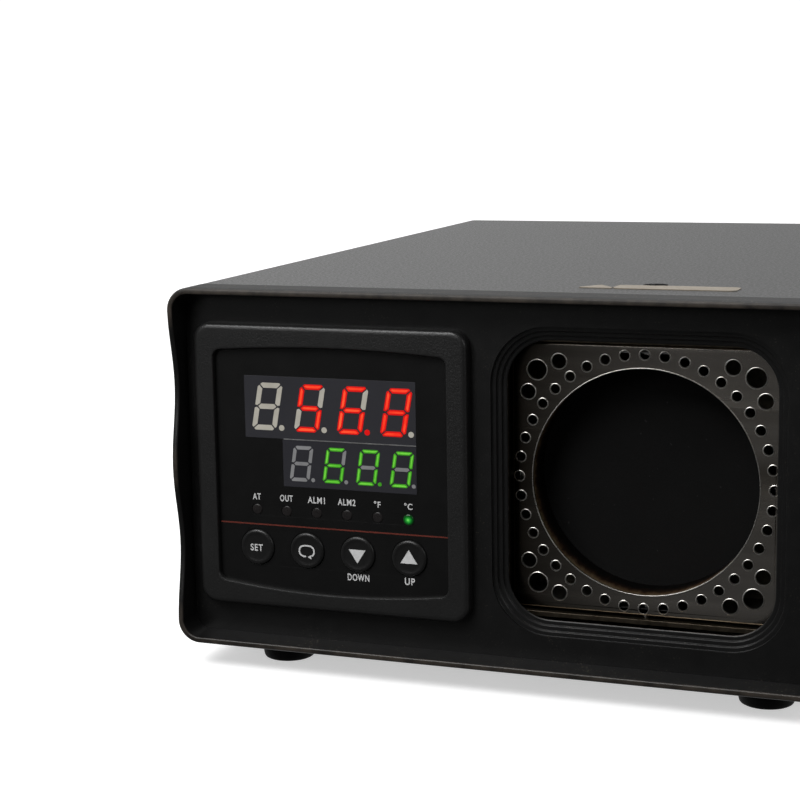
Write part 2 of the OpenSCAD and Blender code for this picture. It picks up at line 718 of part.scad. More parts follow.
guard_radii = [9, 16, 23, 30];
module fan_guard() color("#b9bcc0") translate([target_x, flange_y + 2, mid_z]) rotate([90, 0, 0]) {
    for (r = guard_radii) rotate_extrude($fn = 60) translate([r, 0]) square(1.4, center = true);
    for (a = [45 : 90 : 315]) rotate(a) {
        translate([8, -0.9, 0.2]) cube([fan_hole_pitch / sqrt(2) - 8 - 2.8, 1.8, 1.4]);
        difference() {
            translate([fan_hole_pitch / sqrt(2), 0, 0.2]) cylinder(h = 1.8, r = 3.6);
            translate([fan_hole_pitch / sqrt(2), 0, -2]) cylinder(h = 5, r = 1.9);
        }
    }
}

module fan_screws() color("#8c8f93") for (sx = [-1, 1], sz = [-1, 1])
    rear_screw(target_x + sx * fan_hole_pitch / 2, mid_z + sz * fan_hole_pitch / 2,
        flange_y + 1.8, 3, 1.7, 7.2);

socket_z = inlet_z + 4.5;
drawer_z = inlet_z - 10.6;
module power_inlet() color("#1b1c1e") {
    difference() {
        union() {
            upright_plate(flange_y, flange_y + 3) translate([inlet_x, inlet_z]) round_rect(50, 35, 4);
            block([inlet_x - 13.8, fan_y, inlet_z - 15.8], [inlet_x + 13.8, flange_y + 0.1, inlet_z + 15.8]);
        }
        upright_plate(fan_y + 5, flange_y + 4) translate([inlet_x, socket_z]) polygon([
            [-12, -8.2], [12, -8.2], [12, 3.6], [7.4, 8.2], [-7.4, 8.2], [-12, 3.6]]);
        block([inlet_x - 11.9, fan_y + 4, drawer_z - 3.9], [inlet_x + 11.9, flange_y + 4, drawer_z + 3.9]);
        for (sx = [-1, 1]) y_rod(inlet_x + sx * 20, inlet_z, flange_y - 1, flange_y + 4, 1.6);
    }
    color("#c0c2c4") for (p = [[-7, -2], [0, 2.5], [7, -2]])
        block([inlet_x + p.x - 1, fan_y + 4.9, socket_z + p.y - 2],
            [inlet_x + p.x + 1, flange_y - 2, socket_z + p.y + 2]);
    color("#c0c2c4") for (x = [-8, 0, 8]) translate([inlet_x + x, 0, inlet_z + 4])
        block([-2.4, fan_y - 7, -0.4], [2.4, fan_y + 0.1, 0.4]);
}

// The fuse carrier: a shallow tray that slides out to the rear, with its fuse in it.
module fuse_drawer() {
    color("#1b1c1e") translate([inlet_x, 0, drawer_z]) difference() {
        union() {
            block([-11.6, flange_y - 16, -3.6], [11.6, flange_y + 3.1, 3.6]);
            block([-11.6, flange_y + 3, -3.6], [11.6, flange_y + 4, 3.6]);
        }
        block([-10.6, flange_y - 13, -2.7], [10.6, flange_y - 6.6, 4]);
        block([-6, flange_y + 3.2, -1.2], [6, flange_y + 5, 0.2]);
    }
    color("#dfe6ea") x_rod(flange_y - 9.8, drawer_z, inlet_x - 10.3, inlet_x + 10.3, 2.6);
}

module switch_body() color("#1b1c1e") translate([inlet_x, 0, switch_z]) difference() {
    union() {
        upright_plate(flange_y, flange_y + 1.8) round_rect(16.6, 22.6, 1.5);
        block([-6.4, flange_y - 18, -9.4], [6.4, flange_y + 0.1, 9.4]);
    }
    block([-5.6, flange_y - 8, -9], [5.6, flange_y + 3, 9]);
    x_rod(flange_y - 1, 0, -6.2, 6.2, 1.25);
}

// The rocker, drawn pressed at its lower end, on two short pins.
module switch_rocker() color("#7d1f1c") translate([inlet_x, flange_y - 1, switch_z])
    rotate([rocker_tilt, 0, 0]) {
        rotate([90, 0, 90]) translate([0, 0, -5.3]) linear_extrude(10.6) polygon([
            [-2, -8], [4.6, -8], [3.6, 0], [4.6, 8], [-2, 8], [-3.5, 2], [-3.5, -2]]);
        x_rod(0, 0, -6, 6, 1.2);
    }

// ---- Wiring inside the case ----

module wiring() {
    color("#b5372f") for (s = [-1, 1]) wire([
        [target_x + s * rod_offset, block_y + block_t, lead_z],
        [target_x + s * rod_offset, shield_end_y + 20 + s * 4, lead_z],
        [target_x + s * rod_offset, shield_end_y + 20 + s * 4, floor_z + 5],
        [-8 + s * 3, shield_end_y + 20 + s * 4, floor_z + 5],
        [-8 + s * 3, 31 + s * 6, floor_z + 11 + s * 3],
        [-16, 31 + s * 6, floor_z + 11 + s * 3]], 1.2);
    color("#d8d8d8") wire([
        [target_x, shield_end_y + 4, mid_z],
        [target_x, shield_end_y + 10, mid_z],
        [target_x - 38, shield_end_y + 10, mid_z],
        [target_x - 38, housing_end_y + 16, mid_z],
        [controller_x + 14, housing_end_y + 16, mid_z],
        [controller_x + 14, housing_end_y + 9, mid_z]], 1.2);
    color("#3a3d44") wire([
        [inlet_x - 8, fan_y - 7, inlet_z + 4],
        [inlet_x - 8, fan_y - 12, inlet_z + 4],
        [inlet_x - 8, fan_y - 12, switch_z],
        [inlet_x, fan_y - 12, switch_z],
        [inlet_x, flange_y - 18, switch_z]], 1.2);
    color("#6a4a2c") wire([
        [inlet_x + 8, fan_y - 7, inlet_z + 4],
        [inlet_x + 8, fan_y - 12, inlet_z + 4],
        [inlet_x + 8, fan_y - 12, floor_z + 34],
        [inlet_x + 8, -5, floor_z + 34],
        [inlet_x + 8, -5, controller_z - 5],
        [inlet_x + 8, housing_end_y + 9, controller_z - 5]], 1.2);
}

// ---- Drawing ----

front_frame();
top_cover();
base_tray();
rear_frame();
rear_panel();
rubber_feet();
foot_screws();
case_screws();
frame_screws();
rear_panel_screws();
cover_screw();
shield_pillar();
top_label();
rating_label();
controller_bezel();
controller_face();
upper_lens();
lower_lens();
upper_display();
lower_display();
indicator_leds();
key_set();
key_shift();
key_down();
key_up();
key_switches();
display_board();
main_board();
controller_housing();
controller_terminals();
terminal_screws();
panel_clamps();
clamp_screws();
guard_plate();
plate_screws();
target_barrel();
target_disc();
heater_block();
heater_rods();
temperature_sensor();
insulation_ring();
insulation_block();
shield_box();
shield_back();
overheat_cutout();
oven_bracket();
shield_spacers();
shield_screws();
bracket_screws();
relay_heatsink();
solid_state_relay();
fan_frame();
fan_rotor();
fan_guard();
fan_screws();
power_inlet();
fuse_drawer();
switch_body();
switch_rocker();
wiring();
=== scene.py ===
import math

import bmesh
import bpy
from mathutils import Euler, Matrix, Vector


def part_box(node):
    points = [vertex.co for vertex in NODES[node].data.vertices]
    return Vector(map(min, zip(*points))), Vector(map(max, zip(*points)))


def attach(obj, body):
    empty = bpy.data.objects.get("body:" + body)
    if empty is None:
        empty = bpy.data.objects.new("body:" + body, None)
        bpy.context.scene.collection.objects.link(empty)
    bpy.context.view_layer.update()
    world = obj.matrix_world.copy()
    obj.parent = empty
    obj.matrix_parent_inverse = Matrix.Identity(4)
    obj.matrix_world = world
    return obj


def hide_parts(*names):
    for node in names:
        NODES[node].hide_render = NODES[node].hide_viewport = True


# Looks of a portable infrared calibrator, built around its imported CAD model.
# Lengths are in millimetres and turn into metres as each mesh is made; lights and camera are in metres.
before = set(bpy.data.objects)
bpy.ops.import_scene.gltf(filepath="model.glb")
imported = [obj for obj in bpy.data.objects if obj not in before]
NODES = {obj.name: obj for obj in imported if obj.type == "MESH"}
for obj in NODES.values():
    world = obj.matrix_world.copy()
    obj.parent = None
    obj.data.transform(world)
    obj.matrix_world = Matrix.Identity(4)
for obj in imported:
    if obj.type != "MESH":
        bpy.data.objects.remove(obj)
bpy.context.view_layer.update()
MM = 0.001


def box_mm(node):
    low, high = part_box(node)
    return low / MM, high / MM


def middle(node):
    low, high = box_mm(node)
    return (low + high) / 2


front_low, front_high = box_mm("front_frame")
FRONT_Y = front_low.y
TOP_Z = front_high.z
TARGET_X = middle("guard_plate").x

# ---- Materials ----

BUMP_DEPTH = 0.0001  # metres
DUST_COLOUR = (0.34, 0.30, 0.24)
COAT_ROUGHNESS = 0.15
USUAL = (0.3, 0.7)  # the range that a noise's values mostly fill


class Graph:
    """A material's node tree, with short ways to add what the surfaces here share."""

    def __init__(self, name):
        self.material = bpy.data.materials.new(name)
        self.material.use_nodes = True
        self.tree = self.material.node_tree
        self.shader = self.tree.nodes["Principled BSDF"]
        self.where = self.tree.nodes.new("ShaderNodeTexCoord").outputs["Object"]

    def add(self, kind, inputs=(), **settings):
        node = self.tree.nodes.new(kind)
        for key, value in settings.items():
            setattr(node, key, value)
        for key, value in inputs:
            if isinstance(value, bpy.types.NodeSocket):
                self.tree.links.new(value, node.inputs[key])
            else:
                node.inputs[key].default_value = value
        return node

    def link(self, out, socket):
        self.tree.links.new(out, socket)

    def stretched(self, scale):
        return self.add("ShaderNodeMapping", [("Vector", self.where), ("Scale", scale)]).outputs[0]

    def noise(self, scale, detail=3.0, rough=0.5, vector=None):
        return self.add("ShaderNodeTexNoise", [
            ("Vector", vector or self.where), ("Scale", scale), ("Detail", detail),
            ("Roughness", rough)]).outputs["Fac"]

    def ramp(self, fac, stops):
        ramp = self.add("ShaderNodeValToRGB", [("Fac", fac)])
        elements = ramp.color_ramp.elements
        while len(elements) < len(stops):
            elements.new(0.5)
        for element, (position, colour) in zip(elements, stops):
            element.position = position
            element.color = (*colour, 1.0)
        return ramp.outputs["Color"]

    def blend(self, fac, a, b):
        mix = self.add("ShaderNodeMix", [("Factor", fac)], data_type="RGBA")
        for key, value in (("A", a), ("B", b)):
            socket = next(s for s in mix.inputs if s.name == key and s.type == "RGBA")
            if isinstance(value, bpy.types.NodeSocket):
                self.link(value, socket)
            else:
                socket.default_value = (*value, 1.0)
        return next(s for s in mix.outputs if s.type == "RGBA")

    def span(self, value, low, high, out_low, out_high):
        return self.add("ShaderNodeMapRange", [
            ("Value", value), ("From Min", low), ("From Max", high),
            ("To Min", out_low), ("To Max", out_high)]).outputs["Result"]

    def bump(self, height, strength):
        return self.add("ShaderNodeBump", [
            ("Height", height), ("Strength", strength), ("Distance", BUMP_DEPTH)]).outputs["Normal"]

    def combine(self, operation, a, b):
        return self.add("ShaderNodeMath", [(0, a), (1, b)], operation=operation).outputs[0]

    def axis(self, vector, name):
        return self.add("ShaderNodeSeparateXYZ", [("Vector", vector)]).outputs[name]


def grey(value, warm=0.0):
    return (value * (1 + warm), value, value * (1 - warm))


def surface(name, dark, light, rough, patch=45.0, grain=1600.0, bump=0.25, stretch=(1, 1, 1),
            metallic=0.0, specular=0.5, spread=0.07, dust=0.0, coat=0.0, glow=0.0, matt_top=None,
            gloss_scale=None, stain=None, worn_and_highlit=None):
    """A procedural finish: mottled colour, uneven gloss and a fine grain that catches the light.

    dust is how strongly specks show on what faces up. matt_top is (from, to, extra roughness) over a height,
    stain is (from, to, shade colour) over X, a painted shade towards the low end, and worn_and_highlit
    is (from, to, lighter colour) over Y, partly wear and partly a painted highlight towards the low end, all in
    millimetres.
    """
    g = Graph(name)
    vector = g.stretched(stretch) if stretch != (1, 1, 1) else None
    colour = g.ramp(g.noise(patch, 4.0, 0.6, vector), [(0.3, dark), (0.7, light)])
    if dust:
        facing_up = g.axis(g.add("ShaderNodeNewGeometry").outputs["Normal"], "Z")
        specks = g.span(g.noise(2600.0, 1.0, 0.4), 0.70, 0.76, 0.0, dust)
        clusters = g.span(g.noise(70.0, 2.0), 0.42, 0.62, 0.0, 1.0)
        lying = g.span(facing_up, 0.2, 0.9, 0.15, 1.0)
        amount = g.combine("MULTIPLY", g.combine("MULTIPLY", specks, clusters), lying)
        colour = g.blend(amount, colour, DUST_COLOUR)
    # Painted shade: the colour darkens towards the low end of a span in X.
    if stain:
        start, end, shade_colour = stain
        colour = g.blend(g.span(g.axis(g.where, "X"), start * MM, end * MM, 0.0, 1.0), shade_colour, colour)
    # Partly wear, partly a painted highlight: the colour turns lighter in patches towards the front in Y.
    if worn_and_highlit:
        start, end, rubbed_and_lit = worn_and_highlit
        patchy = g.span(g.noise(150.0, 4.0, 0.7), 0.35, 0.6, 0.25, 1.0)
        forward = g.span(g.axis(g.where, "Y"), start * MM, end * MM, 1.0, 0.0)
        colour = g.blend(g.combine("MULTIPLY", patchy, forward), colour, rubbed_and_lit)
    g.link(colour, g.shader.inputs["Base Color"])
    uneven = g.noise(gloss_scale or patch * 3.1, 3.0, 0.6, vector)
    gloss = g.span(uneven, *USUAL, rough - spread, rough + spread)
    if matt_top:
        low, high, extra = matt_top
        gloss = g.combine("ADD", gloss, g.span(g.axis(g.where, "Z"), low * MM, high * MM, 0.0, extra))
    g.link(gloss, g.shader.inputs["Roughness"])
    g.link(g.bump(g.noise(grain, 2.0, 0.6, vector), bump), g.shader.inputs["Normal"])
    g.shader.inputs["Metallic"].default_value = metallic
    g.shader.inputs["Specular IOR Level"].default_value = specular
    if coat:
        g.shader.inputs["Coat Weight"].default_value = coat
        g.shader.inputs["Coat Roughness"].default_value = COAT_ROUGHNESS
    if glow:
        g.link(colour, g.shader.inputs["Emission Color"])
        g.shader.inputs["Emission Strength"].default_value = glow
    return g.material


def brushed(name, dark, light, rough, axis=0, **more):
    """Bare metal with its rolling marks along one axis."""
    stretch = [1.0, 1.0, 1.0]
    stretch[axis] = 0.04
    settings = dict(patch=260.0, grain=2400.0, bump=0.12, stretch=tuple(stretch), metallic=1.0, spread=0.05)
    settings.update(more)
    return surface(name, dark, light, rough, **settings)


# The rim's front edge is lightened, partly as wear and partly as a painted highlight.
FRAME_PLASTIC = surface("case_plastic_black", grey(0.0056), grey(0.0072), 0.34, patch=90, grain=2300,
                        bump=0.22, specular=0.45, spread=0.03, dust=0.9,
                        matt_top=(TOP_Z - 1.1, TOP_Z - 0.1, 0.32),
                        worn_and_highlit=(FRONT_Y + 0.05, FRONT_Y + 0.6, (0.052, 0.043, 0.035)))
COVER_PLASTIC = surface("cover_plastic_textured", grey(0.011), grey(0.013), 0.38, patch=60, grain=1500,
                        bump=1.6, spread=0.11, dust=0.1, gloss_scale=1300)
PANEL_PAINT = surface("panel_powder_paint", grey(0.011), grey(0.016), 0.5, patch=120, grain=1300,
                      bump=0.45)
RUBBER = surface("foot_rubber", grey(0.003), grey(0.006), 0.62, patch=200, grain=1800, bump=0.3,
                 specular=0.18)
ZINC = surface("screw_zinc", (0.42, 0.43, 0.45), (0.58, 0.58, 0.57), 0.33, patch=500, metallic=1.0,
               bump=0.1)
BLACK_ZINC = surface("screw_black", grey(0.012), grey(0.02), 0.35, patch=500, metallic=0.6, bump=0.1)
ALUMINIUM = brushed("aluminium_extruded", grey(0.52), grey(0.62), 0.34, axis=1)
LABEL_PAPER = surface("label_cream", (0.20, 0.165, 0.12), (0.26, 0.225, 0.175), 0.45, patch=420,
                      bump=0.06)
SILVER_LABEL = brushed("label_silver", grey(0.50), grey(0.58), 0.38, bump=0.04)
BEZEL_PLASTIC = surface("bezel_plastic_satin", grey(0.0128), grey(0.0160), 0.34, patch=110, grain=2300,
                        bump=0.7, spread=0.05, gloss_scale=2300)
FACE_FILM = surface("face_film_satin", grey(0.0055), grey(0.0069), 0.34, patch=60, grain=1100, bump=0.1,
                    specular=0.3, spread=0.03, dust=0.12)
WINDOW_UPPER = surface("window_smoked_upper", (0.039, 0.039, 0.045), (0.045, 0.045, 0.052), 0.16, patch=40,
                       grain=900, bump=0.03, specular=0.3, spread=0.03)
WINDOW_LOWER = surface("window_smoked_lower", (0.033, 0.033, 0.039), (0.039, 0.039, 0.046), 0.16, patch=40,
                       grain=900, bump=0.03, specular=0.3, spread=0.03)
DISPLAY_BLOCK = surface("display_block_black", grey(0.01), grey(0.014), 0.5, bump=0.1)
LAMP_OFF = surface("lamp_smoked", (0.016, 0.014, 0.014), (0.020, 0.018, 0.018), 0.3, patch=500, bump=0.05,
                   specular=0.3)
KEY_PLASTIC = surface("key_plastic_satin", grey(0.0085), grey(0.0105), 0.32, patch=150, grain=1500,
                      bump=0.16, spread=0.03)
SWITCH_METAL = brushed("switch_steel", grey(0.45), grey(0.55), 0.35)
CIRCUIT_BOARD = surface("board_green", (0.012, 0.075, 0.03), (0.02, 0.11, 0.045), 0.35, patch=300,
                        bump=0.15)
TERMINAL_PLASTIC = surface("terminal_grey", grey(0.02), grey(0.03), 0.45, bump=0.15)
BRASS = surface("screw_brass", (0.62, 0.42, 0.15), (0.75, 0.53, 0.22), 0.3, patch=500, metallic=1.0,
                bump=0.08)
# The warm colour is the steel's heat tint; its left part is darkened by painted shade.
GUARD_STEEL = brushed("guard_steel_tint_and_shade", (0.38, 0.34, 0.29), (0.66, 0.62, 0.57), 0.24, patch=60,
                      bump=0.16, spread=0.06, stain=(TARGET_X - 33.0, TARGET_X + 10.0, (0.06, 0.05, 0.038)))
# Brighter steel for the hole rims and the aperture's lip: partly bare burr, partly a painted glint.
GUARD_EDGE_GLINT = surface("guard_steel_burr_and_glint", (0.74, 0.70, 0.64), (0.88, 0.86, 0.82), 0.32, patch=700,
                     metallic=1.0, bump=0.06)
BRIGHT_STEEL = surface("screw_bright", grey(0.72, 0.01), grey(0.85, 0.01), 0.16, patch=300, metallic=1.0,
                       bump=0.04)
CAST_ALUMINIUM = surface("block_aluminium", grey(0.45), grey(0.55), 0.45, metallic=1.0)
ROD_STEEL = brushed("rod_steel", grey(0.38), grey(0.5), 0.3, axis=2)
# Kept dark as painted shade, for what shows through the vent holes.
INSULATION_PAINTED_DARK = surface("insulation_wool", (0.05, 0.042, 0.03), (0.13, 0.115, 0.085), 0.9, patch=350, grain=900,
                     bump=0.9, specular=0.1)
SHIELD_STEEL = brushed("shield_steel", grey(0.36), grey(0.46), 0.34, axis=1)
CERAMIC = surface("ceramic_cream", (0.6, 0.54, 0.42), (0.7, 0.65, 0.54), 0.4, bump=0.1)
# Darker than the other bare steel: painted shade, as it shows behind the guard's top edge.
BRACKET_STEEL_PAINTED_DARK = brushed("bracket_steel", (0.13, 0.105, 0.075), (0.22, 0.185, 0.14), 0.36, axis=1)
RELAY_PLASTIC = surface("relay_plastic", (0.66, 0.64, 0.58), (0.74, 0.72, 0.66), 0.4, bump=0.12)
FAN_PLASTIC = surface("fan_plastic", grey(0.009), grey(0.013), 0.45, grain=1500, bump=0.2)
GUARD_WIRE = surface("wire_chromed", grey(0.6), grey(0.74), 0.2, patch=300, metallic=1.0, bump=0.06)
INLET_PLASTIC = surface("inlet_plastic", grey(0.009), grey(0.013), 0.38, grain=1500, bump=0.15)
ROCKER_RED = surface("rocker_red", (0.17, 0.008, 0.006), (0.25, 0.014, 0.01), 0.28, patch=160, bump=0.06,
                     coat=0.3)
WIRE_PLASTIC = surface("wire_insulation", (0.25, 0.05, 0.035), (0.4, 0.09, 0.06), 0.45, patch=40, bump=0.1)
# The white print also glows faintly: painted light that brightens it, as print is no lamp.
PRINT_WHITE_PAINTED_GLOW = surface("print_white", grey(0.50), grey(0.60), 0.5, patch=900, bump=0.05, glow=0.22)
PRINT_LINE = surface("print_red_line", (0.125, 0.020, 0.012), (0.17, 0.028, 0.016), 0.5, patch=900, bump=0.05)
WINDOW_EDGE = surface("window_edge_line", grey(0.14), grey(0.20), 0.3, patch=300, bump=0.05)
# The unlit bars glow faintly: painted light, as they are no lamp while unlit.
SEGMENT_OFF_PAINTED_GLOW = surface("segment_unlit", (0.38, 0.36, 0.31), (0.45, 0.43, 0.375), 0.35, patch=260, bump=0.03,
                      specular=0.2, glow=0.3)
SEGMENT_DIM_PAINTED_GLOW = surface("segment_unlit_lower", (0.19, 0.19, 0.195), (0.24, 0.24, 0.245), 0.35, patch=260,
                      bump=0.03, specular=0.2, glow=0.25)
SEGMENT_RED = surface("segment_red", (0.50, 0.005, 0.006), (0.60, 0.009, 0.008), 0.3, patch=420, bump=0.02,
                      specular=0.1, glow=0.62)
SEGMENT_RED_CORE = surface("segment_red_core", (0.66, 0.010, 0.007), (0.80, 0.085, 0.030), 0.3, patch=130,
                           bump=0.02, specular=0.1, glow=0.8)
# Painted glow around the red lit bars, standing in for their light on the lens.
SEGMENT_RED_HALO_GLOW = surface("segment_red_halo", (0.12, 0.004, 0.003), (0.16, 0.005, 0.004), 0.3, patch=300,
                           bump=0.02, specular=0.1, glow=0.3)
SEGMENT_GREEN = surface("segment_green", (0.035, 0.25, 0.012), (0.06, 0.33, 0.02), 0.3, patch=420, bump=0.02,
                        specular=0.1, glow=0.4)
SEGMENT_GREEN_CORE = surface("segment_green_core", (0.09, 0.46, 0.03), (0.17, 0.60, 0.06), 0.3, patch=260,
                             bump=0.02, specular=0.1, glow=0.5)
# Painted glow around the green lit bars, standing in for their light on the lens.
SEGMENT_GREEN_HALO_GLOW = surface("segment_green_halo", (0.006, 0.05, 0.003), (0.009, 0.07, 0.004), 0.3, patch=300,
                             bump=0.02, specular=0.1, glow=0.2)

TINT_DEPTH = 6.0  # from the barrel's front to where it is darkest


def barrel_material():
    """Polished steel that heat has turned brown and gold, darker towards the hot end."""
    g = Graph("barrel_steel_tinted")
    front = box_mm("target_barrel")[0].y
    mottle = g.noise(420.0, 5.0, 0.65, g.stretched((1.0, 0.5, 1.0)))
    along = g.span(g.axis(g.where, "Y"), front * MM, (front + TINT_DEPTH) * MM, 0.0, 0.8)
    shifted = g.combine("ADD", along, g.span(mottle, *USUAL, -0.2, 0.24))
    colour = g.ramp(shifted, [(0.0, (0.62, 0.46, 0.27)), (0.2, (0.32, 0.19, 0.10)),
                              (0.42, (0.07, 0.038, 0.024)), (0.75, (0.012, 0.010, 0.009))])
    g.link(colour, g.shader.inputs["Base Color"])
    g.link(g.span(mottle, *USUAL, 0.26, 0.48), g.shader.inputs["Roughness"])
    g.link(g.bump(g.noise(1500.0, 3.0), 0.3), g.shader.inputs["Normal"])
    g.shader.inputs["Metallic"].default_value = 0.9
    return g.material


def target_material():
    """High-emissivity black coating, very even, with a few faint specks."""
    g = Graph("target_black_coating")
    colour = g.ramp(g.noise(38.0, 4.0, 0.55), [(0.3, grey(0.0048)), (0.7, grey(0.0060))])
    specks = g.span(g.noise(900.0, 1.0), 0.79, 0.81, 0.0, 0.14)
    g.link(g.blend(specks, colour, grey(0.09)), g.shader.inputs["Base Color"])
    g.link(g.span(g.noise(60.0), *USUAL, 0.72, 0.82), g.shader.inputs["Roughness"])
    g.link(g.bump(g.noise(1900.0, 2.0), 0.35), g.shader.inputs["Normal"])
    g.shader.inputs["Specular IOR Level"].default_value = 0.12
    return g.material


def lit_lamp_material(x, z, r):
    """A lit green lamp at a place on the front: a bright core behind a dark green lens."""
    g = Graph("lamp_green_lit")
    flat = g.add("ShaderNodeVectorMath", [(0, g.where), (1, (1.0, 0.0, 1.0))], operation="MULTIPLY")
    off_axis = g.add("ShaderNodeVectorMath", [(0, flat.outputs[0]), (1, (x * MM, 0.0, z * MM))],
                     operation="DISTANCE").outputs["Value"]
    uneven = g.combine("ADD", g.span(off_axis, 0.0, r * MM, 0.0, 1.0),
                       g.span(g.noise(900.0), *USUAL, -0.06, 0.06))
    colour = g.ramp(uneven, [(0.0, (0.16, 0.66, 0.12)), (0.30, (0.020, 0.34, 0.035)),
                             (0.60, (0.003, 0.10, 0.010)), (0.90, (0.001, 0.02, 0.003))])
    g.link(colour, g.shader.inputs["Base Color"])
    g.link(colour, g.shader.inputs["Emission Color"])
    g.shader.inputs["Emission Strength"].default_value = 0.5
    g.shader.inputs["Roughness"].default_value = 0.18
    g.link(g.bump(g.noise(700.0, 2.0), 0.05), g.shader.inputs["Normal"])
    return g.material


BARREL_STEEL = barrel_material()
TARGET_BLACK = target_material()

# ---- Mesh tools ----

WELD = 1e-4  # millimetres
UPRIGHT = Matrix.Rotation(math.radians(90), 4, "X")
LETTER_WEIGHT = 0.018
LETTER_RELIEF = 0.03
LETTER_SPACING = 1.15
MIN_RADIUS = 0.05
TRIM_SHARE = 0.48  # of a side, that the rounding at one of its ends may take up
HARD_EDGE = math.radians(30)  # softened() rounds edges that turn by more than this


def finish_piece(name, bm, material, body="case", stands_for=(), sharp=32, weighted=True):
    """Turns a bmesh in millimetres into a smooth-shaded piece that rides on a CAD body."""
    bmesh.ops.recalc_face_normals(bm, faces=bm.faces)
    bm.transform(Matrix.Scale(MM, 4))
    mesh = bpy.data.meshes.new(name)
    bm.to_mesh(mesh)
    bm.free()
    mesh.polygons.foreach_set("use_smooth", [True] * len(mesh.polygons))
    mesh.set_sharp_from_angle(angle=math.radians(sharp))
    piece = bpy.data.objects.new(name, mesh)
    bpy.context.scene.collection.objects.link(piece)
    piece.data.materials.append(material)
    if weighted:
        piece.modifiers.new("even_normals", "WEIGHTED_NORMAL").keep_sharp = True
    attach(piece, body)
    if stands_for:
        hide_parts(*stands_for)
    return piece


def round_rect(w, h, r, corner=10, side=1, centre=(0.0, 0.0)):
    """Outline of a rectangle with round corners, anticlockwise from its top right corner."""
    cx, cz = centre
    r = max(r, MIN_RADIUS)
    points = []
    corners = [(1, 1), (-1, 1), (-1, -1), (1, -1)]
    for quadrant, (sx, sz) in enumerate(corners):
        for k in range(corner + 1):
            a = math.radians(90 * (quadrant + k / corner))
            points.append((cx + sx * (w / 2 - r) + r * math.cos(a), cz + sz * (h / 2 - r) + r * math.sin(a)))
        nx, nz = corners[(quadrant + 1) % 4]
        a = math.radians(90 * (quadrant + 1))
        start = points[-1]
        end = (cx + nx * (w / 2 - r) + r * math.cos(a), cz + nz * (h / 2 - r) + r * math.sin(a))
        for k in range(1, side):
            t = k / side
            points.append((start[0] + (end[0] - start[0]) * t, start[1] + (end[1] - start[1]) * t))
    return points


def circle(r, centre, steps=48):
    return [(centre[0] + r * math.cos(math.tau * k / steps), centre[1] + r * math.sin(math.tau * k / steps))
            for k in range(steps)]


def soft(points, steps=4, closed=True):
    """A path of (a, b, radius) corners, each rounded off by its radius."""
    path = []
    count = len(points)
    for i, (a, b, r) in enumerate(points):
        here = Vector((a, b))
        if r <= 0 or (not closed and i in (0, count - 1)):
            path.append((a, b))
            continue
        before = Vector(points[i - 1][:2])
        after = Vector(points[(i + 1) % count][:2])
        back, on = before - here, after - here
        trim_back = min(r, back.length * TRIM_SHARE)
        trim_on = min(r, on.length * TRIM_SHARE)
        p, q = here + back.normalized() * trim_back, here + on.normalized() * trim_on
        for k in range(steps + 1):
            t = k / steps
            s = p * (1 - t) ** 2 + here * 2 * t * (1 - t) + q * t * t
            path.append((s.x, s.y))
    return path


def bridge(bm, rings, closed):
    """Quads between successive rings of points; closed joins the last ring to the first."""
    verts = [[bm.verts.new(p) for p in ring] for ring in rings]
    pairs = list(zip(verts, verts[1:])) + ([(verts[-1], verts[0])] if closed else [])
    for a, b in pairs:
        for i in range(len(a)):
            j = (i + 1) % len(a)
            bm.faces.new((a[i], a[j], b[j], b[i]))


def turned(bm, profile, axis, centre, steps=48):
    """Revolves (radius, place along the axis) points; a radius of 0 closes the shape on its axis."""
    rings = []
    for r, t in profile:
        ring = []
        for k in range(steps):
            u, v = r * math.cos(math.tau * k / steps), r * math.sin(math.tau * k / steps)
            ring.append((centre[0] + u, t, centre[2] + v) if axis == "y" else
                        (centre[0] + u, centre[1] + v, t))
        rings.append(ring)
    bridge(bm, rings, closed=profile[0][0] > 0)
    bmesh.ops.remove_doubles(bm, verts=bm.verts, dist=1e-5)


def take_shape(bm, curve, placement):
    """Adds a curve's filled shape to a mesh at a placement, and clears the curve away."""
    holder = bpy.data.objects.new(curve.name, curve)
    bpy.context.scene.collection.objects.link(holder)
    mesh = bpy.data.meshes.new_from_object(holder.evaluated_get(bpy.context.evaluated_depsgraph_get()))
    mesh.transform(placement(mesh))
    bm.from_mesh(mesh)
    bmesh.ops.remove_doubles(bm, verts=bm.verts, dist=WELD)
    bpy.data.meshes.remove(mesh)
    bpy.data.objects.remove(holder)
    bpy.data.curves.remove(curve)


def flat_plate(bm, outlines, y0, y1, bevel=0.0):
    """A flat plate between two depths, with holes, from outlines in X and Z; its edges can be rounded."""
    curve = bpy.data.curves.new("outline", "CURVE")
    curve.dimensions = "2D"
    curve.fill_mode = "BOTH"
    curve.extrude = (y1 - y0) / 2 - bevel
    curve.bevel_depth = bevel
    curve.bevel_resolution = 1
    curve.offset = -bevel
    for outline in outlines:
        spline = curve.splines.new("POLY")
        spline.points.add(len(outline) - 1)
        for point, (x, z) in zip(spline.points, outline):
            point.co = (x, z, 0.0, 1.0)
        spline.use_cyclic_u = True
    take_shape(bm, curve, lambda mesh: Matrix.Translation((0, (y0 + y1) / 2, 0)) @ UPRIGHT)


